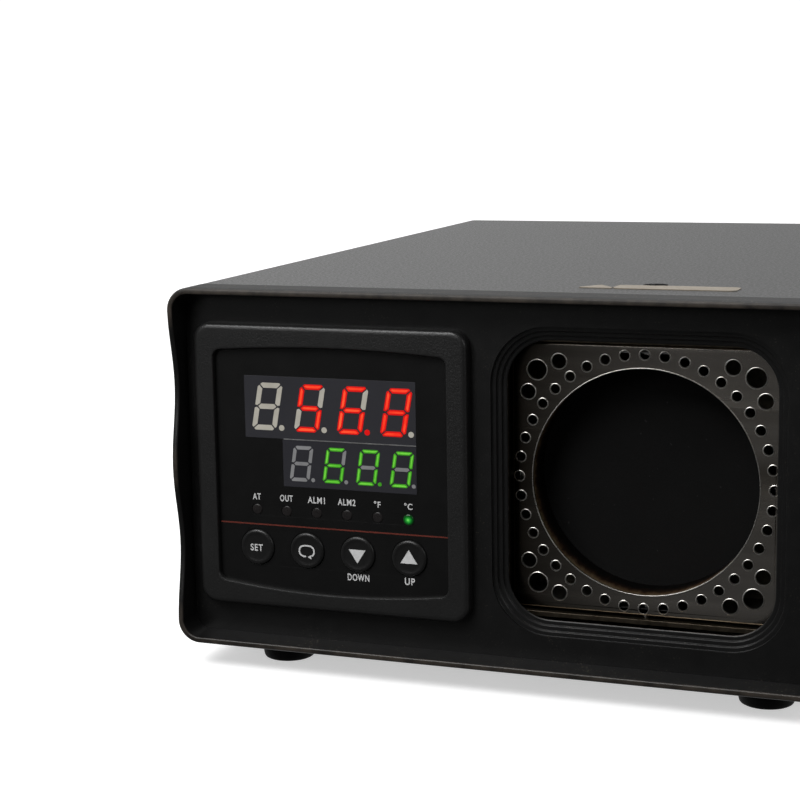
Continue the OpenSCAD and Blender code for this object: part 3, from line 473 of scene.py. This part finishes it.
def lettering(bm, text, width, height, centre, y):
    """Raised print of a given width and height, centred on a point of the front."""
    curve = bpy.data.curves.new("letters", "FONT")
    curve.body = text
    curve.extrude = LETTER_RELIEF
    curve.offset = LETTER_WEIGHT
    curve.space_character = LETTER_SPACING

    def fitted(mesh):
        xs, ys = [v.co.x for v in mesh.vertices], [v.co.y for v in mesh.vertices]
        to_origin = Matrix.Translation((-(min(xs) + max(xs)) / 2, -(min(ys) + max(ys)) / 2, 0))
        fit = Matrix.Diagonal((width / (max(xs) - min(xs)), height / (max(ys) - min(ys)), 1, 1))
        return Matrix.Translation((centre[0], y, centre[1])) @ UPRIGHT @ fit @ to_origin

    take_shape(bm, curve, fitted)


def softened(node, width, material, body="case", name=None):
    """A copy of a CAD node with its sharp edges rounded off by about a width."""
    bm = bmesh.new()
    bm.from_mesh(NODES[node].data)
    bm.transform(Matrix.Scale(1 / MM, 4))
    bmesh.ops.remove_doubles(bm, verts=bm.verts, dist=1e-3)
    bmesh.ops.dissolve_limit(bm, angle_limit=math.radians(0.6), verts=bm.verts, edges=bm.edges)
    sharp = [e for e in bm.edges if len(e.link_faces) == 2 and e.calc_face_angle(0.0) > HARD_EDGE]
    bmesh.ops.bevel(bm, geom=sharp, offset=width, segments=2, profile=0.6, affect="EDGES", clamp_overlap=True)
    bmesh.ops.remove_doubles(bm, verts=bm.verts, dist=WELD)
    return finish_piece(name or node + "_finished", bm, material, body, (node,), sharp=35)


# ---- Case ----

tray_low = box_mm("base_tray")[0]
plate_low, plate_high = box_mm("guard_plate")
bezel_low, bezel_high = box_mm("controller_bezel")
disc_low, disc_high = box_mm("target_disc")
barrel_end = box_mm("target_barrel")[1].y

CASE_W = front_high.x - front_low.x
CASE_H = front_high.z - front_low.z
MID_Z = (front_high.z + front_low.z) / 2
SEAM_Y = box_mm("top_cover")[0].y
PANEL_Y = bezel_high.y
PANEL_T = 3.0
RIM_T = 1.55
CORNER_R = 6.0
WAVE_DEPTH = 2.8
WAVE_SPAN = CASE_H / 2 - 5
GROOVE_BACK, GROOVE_D = 2.1, 0.22
PLATE_Y = plate_low.y
SHEET_T = 0.8
CONTROL_X = middle("controller_face").x
CONTROL_Z = middle("controller_face").z
WINDOW_W, WINDOW_H, WINDOW_R = 67.0, 71.0, 11.0
STEPS, STEP_W, STEP_D = 4, 1.2, 0.8
STEPPED = (STEPS - 1) * STEP_W
CONTROL_CUTOUT = 68.0


def case_outline(inset):
    return round_rect(CASE_W - 2 * inset, CASE_H - 2 * inset, CORNER_R - inset, corner=12, side=30,
                      centre=(0, MID_Z))


def wave(z):
    """How far the hood's side edges fall back from the front at a height."""
    up = min(abs(z - MID_Z), WAVE_SPAN)
    return WAVE_DEPTH * math.sin(math.pi * up / WAVE_SPAN) ** 2


def window_outline(grow):
    return round_rect(WINDOW_W + 2 * grow, WINDOW_H + 2 * grow, WINDOW_R + grow, 12, 1, (TARGET_X, MID_Z))


def hood_piece():
    """The front frame: a hood with wavy sides, a panel, and the target's stepped window."""
    bm = bmesh.new()
    groove = FRONT_Y + GROOVE_BACK
    profile = soft([(0, SEAM_Y, 0.15), (0, groove + 0.2, 0.08), (GROOVE_D, groove + 0.15, 0.08),
                    (GROOVE_D, groove - 0.15, 0.08), (0, groove - 0.2, 0.08), (0, FRONT_Y, 1.3),
                    (RIM_T, FRONT_Y, 0.4), (RIM_T + 0.6, SEAM_Y, 0.15)], steps=6)
    rings = []
    for inset, y in profile:
        share = max(0.0, 1 - (y - FRONT_Y) / (PANEL_Y - FRONT_Y))
        rings.append([(x, y + wave(z) * share, z) for x, z in case_outline(inset)])
    bridge(bm, rings, closed=True)
    control_hole = round_rect(CONTROL_CUTOUT, CONTROL_CUTOUT, 2, 6, 1, (CONTROL_X, CONTROL_Z))
    outer = round_rect(CASE_W - 2.4, CASE_H - 2.4, CORNER_R - 1.2, 12, 1, (0, MID_Z))
    flat_plate(bm, [outer, window_outline(STEPPED), control_hole], PANEL_Y, PANEL_Y + PANEL_T)
    steps = [(STEPPED + 1.0, PANEL_Y + PANEL_T, 0), (STEPPED + 0.4, PANEL_Y + 0.02, 0.1)]
    for i in range(STEPS):
        last = i == STEPS - 1
        inset = STEP_W * (STEPS - 1 - i)
        steps.append((inset, PANEL_Y + (0.02 if i == 0 else STEP_D * i), 0.34))
        steps.append((inset, PANEL_Y + (PANEL_T if last else STEP_D * (i + 1)), 0.16))
    bridge(bm, [[(x, y, z) for x, z in window_outline(grow)] for grow, y in soft(steps, steps=3)], closed=True)
    return finish_piece("front_moulding", bm, FRAME_PLASTIC, stands_for=("front_frame",))


hood_piece()
softened("top_cover", 0.45, COVER_PLASTIC, name="cover_upper")
softened("base_tray", 0.4, COVER_PLASTIC, name="cover_lower")
softened("rear_frame", 0.5, COVER_PLASTIC, name="rear_bezel")
softened("rear_panel", 0.25, PANEL_PAINT, name="rear_plate")

FOOT_R = 7.2
FOOT_RECESS = 3.0  # height of the screw's seat inside the foot
foot_low, foot_high = box_mm("rubber_feet")
foot_bm = bmesh.new()
for fx in (foot_low.x + FOOT_R, foot_high.x - FOOT_R):
    for fy in (foot_low.y + FOOT_R, foot_high.y - FOOT_R):
        profile = soft([(1.35, tray_low.z, 0), (1.35, FOOT_RECESS, 0), (3.3, FOOT_RECESS, 0.2), (3.3, 0.0, 0.5),
                        (FOOT_R - 0.5, 0.0, 0.9), (FOOT_R, 3.0, 1.5), (FOOT_R - 0.3, front_low.z, 0.25),
                        (FOOT_R - 0.9, front_low.z, 0), (FOOT_R - 0.9, tray_low.z, 0)], steps=4)
        turned(foot_bm, profile, "z", (fx, fy, 0))
finish_piece("feet_moulded", foot_bm, RUBBER, stands_for=("rubber_feet",))

# ---- Controller ----

FACE_Y = box_mm("controller_face")[0].y
BEZEL_Y = bezel_low.y
BEZEL_W = bezel_high.x - bezel_low.x
BEZEL_H = bezel_high.z - bezel_low.z
BEZEL_R = 4.3
BEZEL_CROWN = 0.6  # how much taller the moulded bezel looks than its CAD node
BEZEL_FLAT = 3.2  # from the outer edge to where the bezel's face is flat
OPEN_W, OPEN_R, OPEN_BEVEL = 64.0, 2.0, 0.7
TOP_R, BOTTOM_R = 380.0, 225.0
TOP_EDGE, BOTTOM_EDGE = 32.0, 32.6


def bezel_outline(inset):
    return round_rect(BEZEL_W - 2 * inset, BEZEL_H + BEZEL_CROWN - 2 * inset, BEZEL_R - inset, 12, 16,
                      (CONTROL_X, CONTROL_Z + BEZEL_CROWN / 2))


def opening_outline(grow):
    """The opening's outline, whose top and bottom edges bow outwards."""
    half = OPEN_W / 2
    top = TOP_EDGE - (TOP_R - math.sqrt(TOP_R ** 2 - half ** 2))
    bottom = BOTTOM_EDGE - (BOTTOM_R - math.sqrt(BOTTOM_R ** 2 - half ** 2))
    flat = round_rect(OPEN_W + 2 * grow, top + bottom + 2 * grow, OPEN_R + grow, 12, 16,
                      (0, (top - bottom) / 2))
    points = []
    for x, z in flat:
        r = TOP_R if z > 0 else BOTTOM_R
        rise = math.sqrt(r * r - min(abs(x), half) ** 2) - math.sqrt(r * r - half ** 2)
        points.append((CONTROL_X + x, CONTROL_Z + z + math.copysign(rise, z)))
    return points


def bezel_piece():
    """The controller's moulded bezel: a crowned frame with a soft outer edge."""
    bm = bmesh.new()
    rings = []
    back = PANEL_Y + 0.05
    outer = soft([(0, back, 0), (0, BEZEL_Y, 1.9), (BEZEL_FLAT, BEZEL_Y, 0)], steps=9, closed=False)
    rings += [[(x, y, z) for x, z in bezel_outline(inset)] for inset, y in outer]
    a, b = bezel_outline(BEZEL_FLAT), opening_outline(OPEN_BEVEL)
    for t in (0.5, 1.0):
        rings.append([(p[0] + (q[0] - p[0]) * t, BEZEL_Y, p[1] + (q[1] - p[1]) * t) for p, q in zip(a, b)])
    inner = soft([(OPEN_BEVEL, BEZEL_Y, 0), (0, BEZEL_Y, 0.6), (0.0, FACE_Y - 0.02, 0.12),
                  (0.9, FACE_Y - 0.02, 0.1), (0.9, back, 0)], steps=4, closed=False)
    rings += [[(x, y, z) for x, z in opening_outline(grow)] for grow, y in inner[1:]]
    bridge(bm, rings, closed=True)
    return finish_piece("bezel_moulded", bm, BEZEL_PLASTIC, stands_for=("controller_bezel",))


bezel_piece()

KEY_NAMES = ("set", "shift", "down", "up")
KEY_R = 4.8
KEY_PITCH = 14.15
KEY_Z = CONTROL_Z - 21.35
LEGENDS = (("AT", 2.3), ("OUT", 3.6), ("ALM1", 4.8), ("ALM2", 4.9), ("°F", 1.8), ("°C", 2.2))  # and widths
LIT_LAMP = 5
LAMP_PITCH = 8.45
LAMP_Z = CONTROL_Z - 11.3
LAMP_R = 1.5
# Windows as left, right, lower and upper edges from the controller's middle.
UPPER_WINDOW = (-23.8, 23.5, 7.85, 24.15)
LOWER_WINDOW = (-13.3, 23.5, -4.65, 7.75)


def rectangle(x0, x1, z0, z1, r=0.15):
    """A round-cornered outline on the controller's face, from its edges."""
    return round_rect(x1 - x0, z1 - z0, r, 3, 1, (CONTROL_X + (x0 + x1) / 2, CONTROL_Z + (z0 + z1) / 2))


face_bm = bmesh.new()
key_xs = [CONTROL_X + (i - 1.5) * KEY_PITCH for i in range(len(KEY_NAMES))]
lamp_xs = [CONTROL_X + (i - 2.5) * LAMP_PITCH for i in range(len(LEGENDS))]
face_holes = [circle(KEY_R + 0.06, (x, KEY_Z), 72) for x in key_xs]
face_holes += [circle(LAMP_R, (x, LAMP_Z), 32) for x in lamp_xs]
flat_plate(face_bm, [round_rect(66, 65.2, 1, 4, 1, (CONTROL_X, CONTROL_Z))] + face_holes,
           FACE_Y, FACE_Y + 1.1, bevel=0.06)
finish_piece("face_film", face_bm, FACE_FILM, stands_for=("controller_face",))

for name, edges, material, lens in (("window_upper", UPPER_WINDOW, WINDOW_UPPER, "upper_lens"),
                                    ("window_lower", LOWER_WINDOW, WINDOW_LOWER, "lower_lens")):
    bm = bmesh.new()
    flat_plate(bm, [rectangle(*edges)], FACE_Y - 0.05, FACE_Y + 0.9, bevel=0.03)
    finish_piece(name, bm, material, stands_for=(lens,))
edge_bm = bmesh.new()
flat_plate(edge_bm, [rectangle(LOWER_WINDOW[0] + 0.3, UPPER_WINDOW[1], 7.68, 7.95, 0.1)],
           FACE_Y - 0.1, FACE_Y + 0.5, bevel=0.03)
finish_piece("window_edge", edge_bm, WINDOW_EDGE)


BAR_GAP = 0.24


def segment_shapes(w, h, t, gap=BAR_GAP):
    """The seven bars of an upright digit, as outlines from its lower left corner, named a to g."""
    m = h / 2  # the middle's height
    c = t * 0.62  # the corners' chamfer
    upper_left = [(0, h - gap - c), (c / 2, h - gap - c / 2), (t, h - gap - t), (t, m + t / 2 + gap * 0.6),
                  (t * 0.45, m + gap), (0, m + gap * 1.6)]
    top = [(gap + c / 2, h - c / 2), (gap + c, h), (w - gap - c, h), (w - gap - c / 2, h - c / 2),
           (w - gap - t, h - t), (gap + t, h - t)]
    centre = [(t * 0.5 + gap, m), (t + gap, m + t / 2), (w - t - gap, m + t / 2), (w - t * 0.5 - gap, m),
              (w - t - gap, m - t / 2), (t + gap, m - t / 2)]

    def mirror_x(points):
        return [(w - x, z) for x, z in points]

    def mirror_z(points):
        return [(x, h - z) for x, z in points]

    return {"a": top, "b": mirror_x(upper_left), "c": mirror_z(mirror_x(upper_left)), "d": mirror_z(top),
            "e": mirror_z(upper_left), "f": upper_left, "g": centre}


LIT_BARS = {"8": "abcdefg", "6": "acdefg", "5": "acdfg", "0": "abcdef", "": ""}


def scaled(points, amount):
    """An outline moved in or out from its middle by about an amount."""
    cx = sum(p[0] for p in points) / len(points)
    cz = sum(p[1] for p in points) / len(points)
    half_w = max(abs(p[0] - cx) for p in points)
    half_h = max(abs(p[1] - cz) for p in points)
    return [(cx + (x - cx) * (1 + amount / half_w), cz + (z - cz) * (1 + amount / half_h)) for x, z in points]


def draw_digits(colour, text, dotted, first_x, pitch, base_z, w, h, t, slant, finishes):
    """Makes a row of slanted digits and their points as four pieces: lit, halo, core and unlit. The halo is a
    painted glow around the lit bars.

    first_x and base_z are from the controller's middle; t is the bars' thickness, and dotted the digit
    whose point is lit.
    """
    groups = {key: bmesh.new() for key in ("lit", "halo", "core", "unlit")}
    y = FACE_Y - 0.09
    for i, glyph in enumerate(text):
        left = first_x + pitch * i

        def lean(points):
            return [(CONTROL_X + left + x + slant * z, CONTROL_Z + base_z + z) for x, z in points]

        for bar, points in segment_shapes(w, h, t).items():
            lit = bar in LIT_BARS[glyph]
            flat_plate(groups["lit" if lit else "unlit"], [lean(points)], y, y + 0.3)
            if lit:
                flat_plate(groups["halo"], [lean(scaled(points, 0.28))], y + 0.05, y + 0.3)
                flat_plate(groups["core"], [lean(scaled(points, -t * 0.3))], y - 0.03, y + 0.2)
        dot = circle(t * 0.56, (CONTROL_X + left + w + t * 1.15, CONTROL_Z + base_z + t * 0.55), 20)
        flat_plate(groups["lit" if i == dotted else "unlit"], [dot], y, y + 0.3)
    for (key, bm), material in zip(groups.items(), finishes):
        name = "digits_" + colour + ("" if key == "lit" else "_" + key)
        finish_piece(name, bm, material, weighted=False)


draw_digits("red", ["", "5", "6", "8"], 2, -21.95, 11.88, 9.95, 6.95, 12.45, 1.36, 0.18,
            (SEGMENT_RED, SEGMENT_RED_HALO_GLOW, SEGMENT_RED_CORE, SEGMENT_OFF_PAINTED_GLOW))
draw_digits("green", ["", "6", "0", "0"], 2, -11.6, 9.22, -3.1, 5.55, 9.35, 0.95, 0.155,
            (SEGMENT_GREEN, SEGMENT_GREEN_HALO_GLOW, SEGMENT_GREEN_CORE, SEGMENT_DIM_PAINTED_GLOW))

PRINT_Y = FACE_Y - 0.02
LAMP_PRINT_H, KEY_PRINT_H = 1.7, 1.85
print_bm = bmesh.new()
for x, (text, width) in zip(lamp_xs, LEGENDS):
    lettering(print_bm, text, width, LAMP_PRINT_H, (x, CONTROL_Z - 7.85), PRINT_Y)
lettering(print_bm, "DOWN", 6.0, KEY_PRINT_H, (key_xs[2], CONTROL_Z - 27.55), PRINT_Y)
lettering(print_bm, "UP", 2.75, KEY_PRINT_H, (key_xs[3], CONTROL_Z - 27.5), PRINT_Y)
finish_piece("face_print", print_bm, PRINT_WHITE_PAINTED_GLOW, weighted=False)
line_bm = bmesh.new()
flat_plate(line_bm, [rectangle(-31.7, 31.7, -15.42, -15.05, 0.05)], FACE_Y - 0.03, FACE_Y + 0.1)
finish_piece("face_line", line_bm, PRINT_LINE, weighted=False)

for i, x in enumerate(lamp_xs):
    bm = bmesh.new()
    lit = i == LIT_LAMP
    top, back = FACE_Y - (0.35 if lit else 0.03), FACE_Y + 4
    profile = soft([(0, top, 0), (LAMP_R, top, 0.5), (LAMP_R, back, 0), (0, back, 0)], steps=5, closed=False)
    turned(bm, profile, "y", (x, 0, LAMP_Z), 32)
    lamp_finish = lit_lamp_material(x, LAMP_Z, LAMP_R) if lit else LAMP_OFF
    finish_piece("lamp_%d" % (i + 1), bm, lamp_finish,
                 stands_for=("indicator_leds",) if i == 0 else ())

KEY_TOP, KEY_BACK = FACE_Y - 0.7, FACE_Y + 1.6
key_profile = soft([(0, KEY_TOP + 0.16, 0), (KEY_R - 1.5, KEY_TOP + 0.14, 0.5), (KEY_R - 0.75, KEY_TOP, 0.5),
                    (KEY_R - 0.15, KEY_TOP + 0.22, 0.5), (KEY_R, FACE_Y + 0.3, 0.2),
                    (KEY_R - 0.1, KEY_BACK, 0.1), (0, KEY_BACK, 0)], steps=5, closed=False)
for key, x in zip(KEY_NAMES, key_xs):
    bm = bmesh.new()
    turned(bm, key_profile, "y", (x, 0, KEY_Z), 72)
    finish_piece("key_%s_cap" % key, bm, KEY_PLASTIC, body="key_%s_button" % key,
                 stands_for=("key_" + key,))

MARK_Y = KEY_TOP + 0.13
set_bm, loop_bm, down_bm, up_bm = (bmesh.new() for _ in range(4))
lettering(set_bm, "SET", 3.5, KEY_PRINT_H, (key_xs[0] - 0.1, KEY_Z - 0.1), MARK_Y)


def key_mark(bm, outline):
    flat_plate(bm, [outline], MARK_Y - 0.03, MARK_Y + 0.1)


def loop_arrow(bm, centre):
    """A rounded loop that is open at its lower right, with an arrowhead."""
    w, h, thick = 2.05, 1.45, 0.2
    squareness, open_angle, points = 2.6, 44, 48
    outer, inner = [], []
    for k in range(points + 1):
        a = math.radians(-52 + k * (360 - open_angle) / points)
        u, v = math.cos(a), math.sin(a)
        shape = (abs(u) ** squareness + abs(v) ** squareness) ** (-1 / squareness)
        outer.append((centre[0] + (w + thick) * shape * u, centre[1] + (h + thick) * shape * v))
        inner.append((centre[0] + (w - thick) * shape * u, centre[1] + (h - thick) * shape * v))
    key_mark(bm, outer + inner[::-1])
    tip = (centre[0] + 0.25, centre[1] - h - 0.05)
    head = [tip, (tip[0] + 1.0, tip[1] + 0.5), (tip[0] + 1.0, tip[1] - 0.6)]
    flat_plate(bm, [head], MARK_Y - 0.04, MARK_Y + 0.1)


def triangle(x, towards):
    """A triangle on a key that points up (1) or down (-1)."""
    base_z = KEY_Z - 1.3 * towards
    return [(x - 2.3, base_z), (x + 2.3, base_z), (x, KEY_Z + 2.3 * towards)]


loop_arrow(loop_bm, (key_xs[1], KEY_Z - 0.1))
key_mark(down_bm, triangle(key_xs[2], -1))
key_mark(up_bm, triangle(key_xs[3], 1))
for key, bm in zip(KEY_NAMES, (set_bm, loop_bm, down_bm, up_bm)):
    finish_piece("key_%s_mark" % key, bm, PRINT_WHITE_PAINTED_GLOW, body="key_%s_button" % key,
                 weighted=False)

# ---- Heated target ----

APERTURE_R = 28.5
VENT_RING_R, VENT_R, VENT_COUNT = 32.0, 1.25, 40
# Each corner's vents: degrees to one side of the diagonal, distance from the middle, radius.
CORNER_VENTS = ((0, 38.6, 2.5), (8.8, 36.7, 1.9), (-8.8, 36.7, 1.9))
PLATE_W = plate_high.x - plate_low.x
BEND_R = 1.7
RAISED = 0.5  # how much taller the plate looks than its CAD node, so that no gap shows above it
BURR_W = 0.24


def around(degrees, distance):
    """A point in X and Z at an angle and a distance from the target's middle."""
    a = math.radians(degrees)
    return (TARGET_X + distance * math.cos(a), MID_Z + distance * math.sin(a))


def target_ring(bm, profile, steps):
    turned(bm, profile, "y", (TARGET_X, 0, MID_Z), steps)


vents = [(around(90 + 360 // VENT_COUNT * i, VENT_RING_R), VENT_R, 24) for i in range(VENT_COUNT)]
for corner in (45, 135, 225, 315):
    vents += [(around(corner + turn, distance), r, 32) for turn, distance, r in CORNER_VENTS]
holes = [circle(APERTURE_R, (TARGET_X, MID_Z), 128)] + [circle(r, place, steps) for place, r, steps in vents]
guard_centre = (TARGET_X, MID_Z + RAISED / 2)
guard_h = PLATE_W + RAISED
sheet_back = PLATE_Y + SHEET_T


def guard_outline(inset, r):
    return round_rect(PLATE_W - 2 * inset, guard_h - 2 * inset, r, 8, 1, guard_centre)


guard_bm = bmesh.new()
flat_plate(guard_bm, [guard_outline(BEND_R, 1)] + holes, PLATE_Y, sheet_back)
skirt = soft([(BEND_R, PLATE_Y, 0), (0, PLATE_Y, BEND_R), (0, plate_high.y, 0.1),
              (SHEET_T, plate_high.y, 0.1), (SHEET_T, sheet_back, BEND_R - SHEET_T),
              (BEND_R, sheet_back, 0)], steps=6)
bridge(guard_bm, [[(x, y, z) for x, z in guard_outline(inset, 2.7 - inset)] for inset, y in skirt],
       closed=True)
finish_piece("guard_grille", guard_bm, GUARD_STEEL, stands_for=("guard_plate",))

burr_bm = bmesh.new()
for (hole_x, hole_z), r, steps in vents:
    turned(burr_bm, soft([(r - 0.03, PLATE_Y - 0.1, 0.12), (r + BURR_W, PLATE_Y - 0.03, 0.15),
                          (r + BURR_W, PLATE_Y + 0.05, 0), (r - 0.03, sheet_back - 0.1, 0)], steps=2),
           "y", (hole_x, 0, hole_z), steps)
finish_piece("guard_burrs", burr_bm, GUARD_EDGE_GLINT)

lip_bm = bmesh.new()
target_ring(lip_bm, soft([(APERTURE_R - 0.02, PLATE_Y - 0.14, 0.1), (APERTURE_R + 0.26, PLATE_Y - 0.14, 0.14),
                          (APERTURE_R + 0.26, PLATE_Y + 0.1, 0), (APERTURE_R - 0.02, PLATE_Y + 0.1, 0)],
                         steps=4), 160)
finish_piece("aperture_lip", lip_bm, GUARD_EDGE_GLINT)
barrel_bm = bmesh.new()
target_ring(barrel_bm, soft([(APERTURE_R, PLATE_Y + 0.05, 0), (APERTURE_R + 0.45, PLATE_Y + 0.05, 0),
                             (APERTURE_R + 0.5, PLATE_Y + 0.9, 0), (APERTURE_R + 1, PLATE_Y + 1.0, 0.1),
                             (APERTURE_R + 1, barrel_end, 0.1), (APERTURE_R, barrel_end, 0.1)], steps=3), 128)
finish_piece("barrel_turned", barrel_bm, BARREL_STEEL, stands_for=("target_barrel",))
disc_bm = bmesh.new()
target_ring(disc_bm, soft([(0, disc_low.y, 0), (APERTURE_R + 0.4, disc_low.y, 0.2),
                           (APERTURE_R + 0.9, disc_low.y + 0.4, 0.3), (APERTURE_R + 0.9, disc_high.y, 0.2),
                           (0, disc_high.y, 0)], steps=4, closed=False), 128)
finish_piece("target_coated", disc_bm, TARGET_BLACK, stands_for=("target_disc",))

# ---- Label on the top ----

SCREW_RECESS_R = 3.25
label_low, label_high = box_mm("top_label")
left, front, right, back = label_low.x, label_low.y, label_high.x, label_high.y
tab_x = left + 8.2  # where the triangular tab meets the strip
screw = middle("cover_screw")
reach = math.acos((screw.y - back) / SCREW_RECESS_R)
bite = [(screw.x + SCREW_RECESS_R * math.sin(a), screw.y - SCREW_RECESS_R * math.cos(a))
        for a in (reach * (1 - k / 6) for k in range(13))]


def lying(bm, outline):
    """A thin sheet that lies flat on the top, from an outline in X and Y."""
    lower, upper = [[bm.verts.new((x, y, z)) for x, y in outline] for z in (label_low.z, label_high.z)]
    for i in range(len(outline)):
        j = (i + 1) % len(outline)
        bm.faces.new((lower[i], lower[j], upper[j], upper[i]))
    bm.faces.new(lower)
    bm.faces.new(upper)


label_bm = bmesh.new()
lying(label_bm, [(tab_x + 1.2, front), (right - 1.2, front), (right, front + 1.2), (right, back - 1.2),
                 (right - 1.2, back), *bite, (tab_x + 0.6, back - 0.4), (tab_x, front + 2.0)])
lying(label_bm, [(left, front + 0.4), (tab_x, front + 0.2), (tab_x, front + 1.8), (left + 4.1, back - 0.9),
                 (left, front + 1.8)])
finish_piece("top_label_paper", label_bm, LABEL_PAPER, stands_for=("top_label",),
             weighted=False)

# ---- Parts that keep their CAD shape, with rounded edges ----

for node, width, material, slot, body in (
        ("power_inlet", 0.3, INLET_PLASTIC, "inlet_plastic", "case"),
        ("fuse_drawer", 0.2, INLET_PLASTIC, "inlet_plastic", "drawer"),
        ("switch_body", 0.3, INLET_PLASTIC, "inlet_plastic", "case"),
        ("switch_rocker", 0.3, ROCKER_RED, "rocker_red", "rocker"),
        ("fan_frame", 0.3, FAN_PLASTIC, "fan_plastic", "case"),
        ("fan_rotor", 0.15, FAN_PLASTIC, "fan_plastic", "rotor"),
        ("fan_guard", 0.3, GUARD_WIRE, "guard_wire", "case"),
        ("oven_bracket", 0.12, BRACKET_STEEL_PAINTED_DARK, "bracket_steel", "case"),
        ("plate_screws", 0.2, BRIGHT_STEEL, "bright_screw", "case"),
        ("cover_screw", 0.2, BLACK_ZINC, "black_screw", "case"),
        ("foot_screws", 0.2, ZINC, "zinc_screw", "case"),
        ("case_screws", 0.2, ZINC, "zinc_screw", "case"),
        ("frame_screws", 0.2, ZINC, "zinc_screw", "case"),
        ("rear_panel_screws", 0.2, ZINC, "zinc_screw", "case"),
        ("fan_screws", 0.2, ZINC, "zinc_screw", "case")):
    softened(node, width, material, body)

# ---- The CAD nodes that are shown as they are ----

for node, material in {
        "shield_pillar": ALUMINIUM, "rating_label": SILVER_LABEL, "upper_display": DISPLAY_BLOCK,
        "lower_display": DISPLAY_BLOCK, "key_switches": SWITCH_METAL, "display_board": CIRCUIT_BOARD,
        "main_board": CIRCUIT_BOARD, "controller_housing": BEZEL_PLASTIC,
        "controller_terminals": TERMINAL_PLASTIC, "terminal_screws": BRASS, "panel_clamps": TERMINAL_PLASTIC,
        "clamp_screws": ZINC, "heater_block": CAST_ALUMINIUM, "heater_rods": ROD_STEEL,
        "temperature_sensor": ROD_STEEL, "insulation_ring": INSULATION_PAINTED_DARK, "insulation_block": INSULATION_PAINTED_DARK,
        "shield_box": SHIELD_STEEL, "shield_back": SHIELD_STEEL, "overheat_cutout": CERAMIC,
        "shield_spacers": BRIGHT_STEEL, "shield_screws": ZINC, "bracket_screws": ZINC,
        "relay_heatsink": ALUMINIUM, "solid_state_relay": RELAY_PLASTIC, "wiring": WIRE_PLASTIC}.items():
    for material_slot in NODES[node].material_slots:
        material_slot.material = material

# ---- Stage, lights and camera ----

FLOOR_REACH = 6.0
WHITE = (1.0, 1.0, 1.0, 1.0)

floor_bm = bmesh.new()
bmesh.ops.create_grid(floor_bm, x_segments=8, y_segments=8, size=FLOOR_REACH)
floor_mesh = bpy.data.meshes.new("studio_floor")
floor_bm.to_mesh(floor_mesh)
floor_bm.free()
floor = bpy.data.objects.new("studio_floor", floor_mesh)
bpy.context.scene.collection.objects.link(floor)
floor.data.materials.append(surface("floor_white", grey(0.80), grey(0.83), 0.9, patch=2.0, grain=40.0,
                                    bump=0.02, specular=0.05, glow=0.62))
# The floor takes shadows but throws no light on the black case and isn't mirrored in it.
floor.visible_glossy = False
floor.visible_diffuse = False


def studio_world():
    """Soft light that is brighter behind the object and weaker to its right; the camera sees it as white."""
    world = bpy.data.worlds.new("studio")
    bpy.context.scene.world = world
    world.use_nodes = True
    tree = world.node_tree
    nodes, link = tree.nodes, tree.links.new
    axes = nodes.new("ShaderNodeSeparateXYZ")
    link(nodes.new("ShaderNodeTexCoord").outputs["Generated"], axes.inputs[0])

    def fade(axis, low, high, out_low, out_high):
        node = nodes.new("ShaderNodeMapRange")
        for key, value in (("From Min", low), ("From Max", high), ("To Min", out_low), ("To Max", out_high)):
            node.inputs[key].default_value = value
        link(axes.outputs[axis], node.inputs["Value"])
        return node.outputs["Result"]

    light = nodes.new("ShaderNodeMath")
    light.operation = "MULTIPLY"
    link(fade("Y", -0.6, 0.9, 0.058, 0.78), light.inputs[0])
    link(fade("X", -0.42, -0.08, 1.0, 0.62), light.inputs[1])
    seen = nodes.new("ShaderNodeMix")
    seen.inputs["B"].default_value = 1.1
    link(nodes.new("ShaderNodeLightPath").outputs["Is Camera Ray"], seen.inputs["Factor"])
    link(light.outputs[0], seen.inputs["A"])
    background = nodes["Background"]
    link(seen.outputs["Result"], background.inputs["Strength"])
    background.inputs["Color"].default_value = WHITE


studio_world()


def softbox(name, place, aim, size, power):
    """A rectangular lamp at a place in metres, turned to a point; power is in watts."""
    light = bpy.data.lights.new(name, "AREA")
    light.shape = "RECTANGLE"
    light.size, light.size_y = size
    light.energy = power
    lamp = bpy.data.objects.new(name, light)
    lamp.location = place
    lamp.rotation_euler = (Vector(aim) - Vector(place)).to_track_quat("-Z", "Y").to_euler()
    lamp.visible_camera = False
    bpy.context.scene.collection.objects.link(lamp)


PANEL_MIDDLE = (0.0, -0.1, 0.05)
softbox("softbox_front", (-0.35, -0.72, 0.85), PANEL_MIDDLE, (0.8, 0.5), 9.0)
softbox("softbox_low", (-0.5, -1.1, 0.42), PANEL_MIDDLE, (0.5, 0.35), 1.4)
softbox("softbox_right", (0.95, -0.55, 0.5), (0.03, -0.1, 0.05), (0.3, 0.5), 1.0)

sky = bpy.data.lights.new("sky_dome", "SUN")
sky.energy = 1.7
sky.angle = math.radians(70)
dome = bpy.data.objects.new("sky_dome", sky)
dome.rotation_euler = Euler((math.radians(-20), math.radians(6), 0), "XYZ")
bpy.context.scene.collection.objects.link(dome)

# The photograph's view, fitted to the case's edges and the ring of vents.
camera_data = bpy.data.cameras.new("camera")
camera_data.lens = 84.63
camera_data.sensor_width = 36.0
camera_data.clip_start = 0.01
camera = bpy.data.objects.new("camera", camera_data)
camera.location = (0.1415, -0.5477, 0.1527)
camera.rotation_euler = Euler((math.radians(80.344), math.radians(0.971), math.radians(20.694)), "XYZ")
bpy.context.scene.collection.objects.link(camera)
bpy.context.scene.camera = camera
bpy.context.scene.view_settings.view_transform = "Standard"
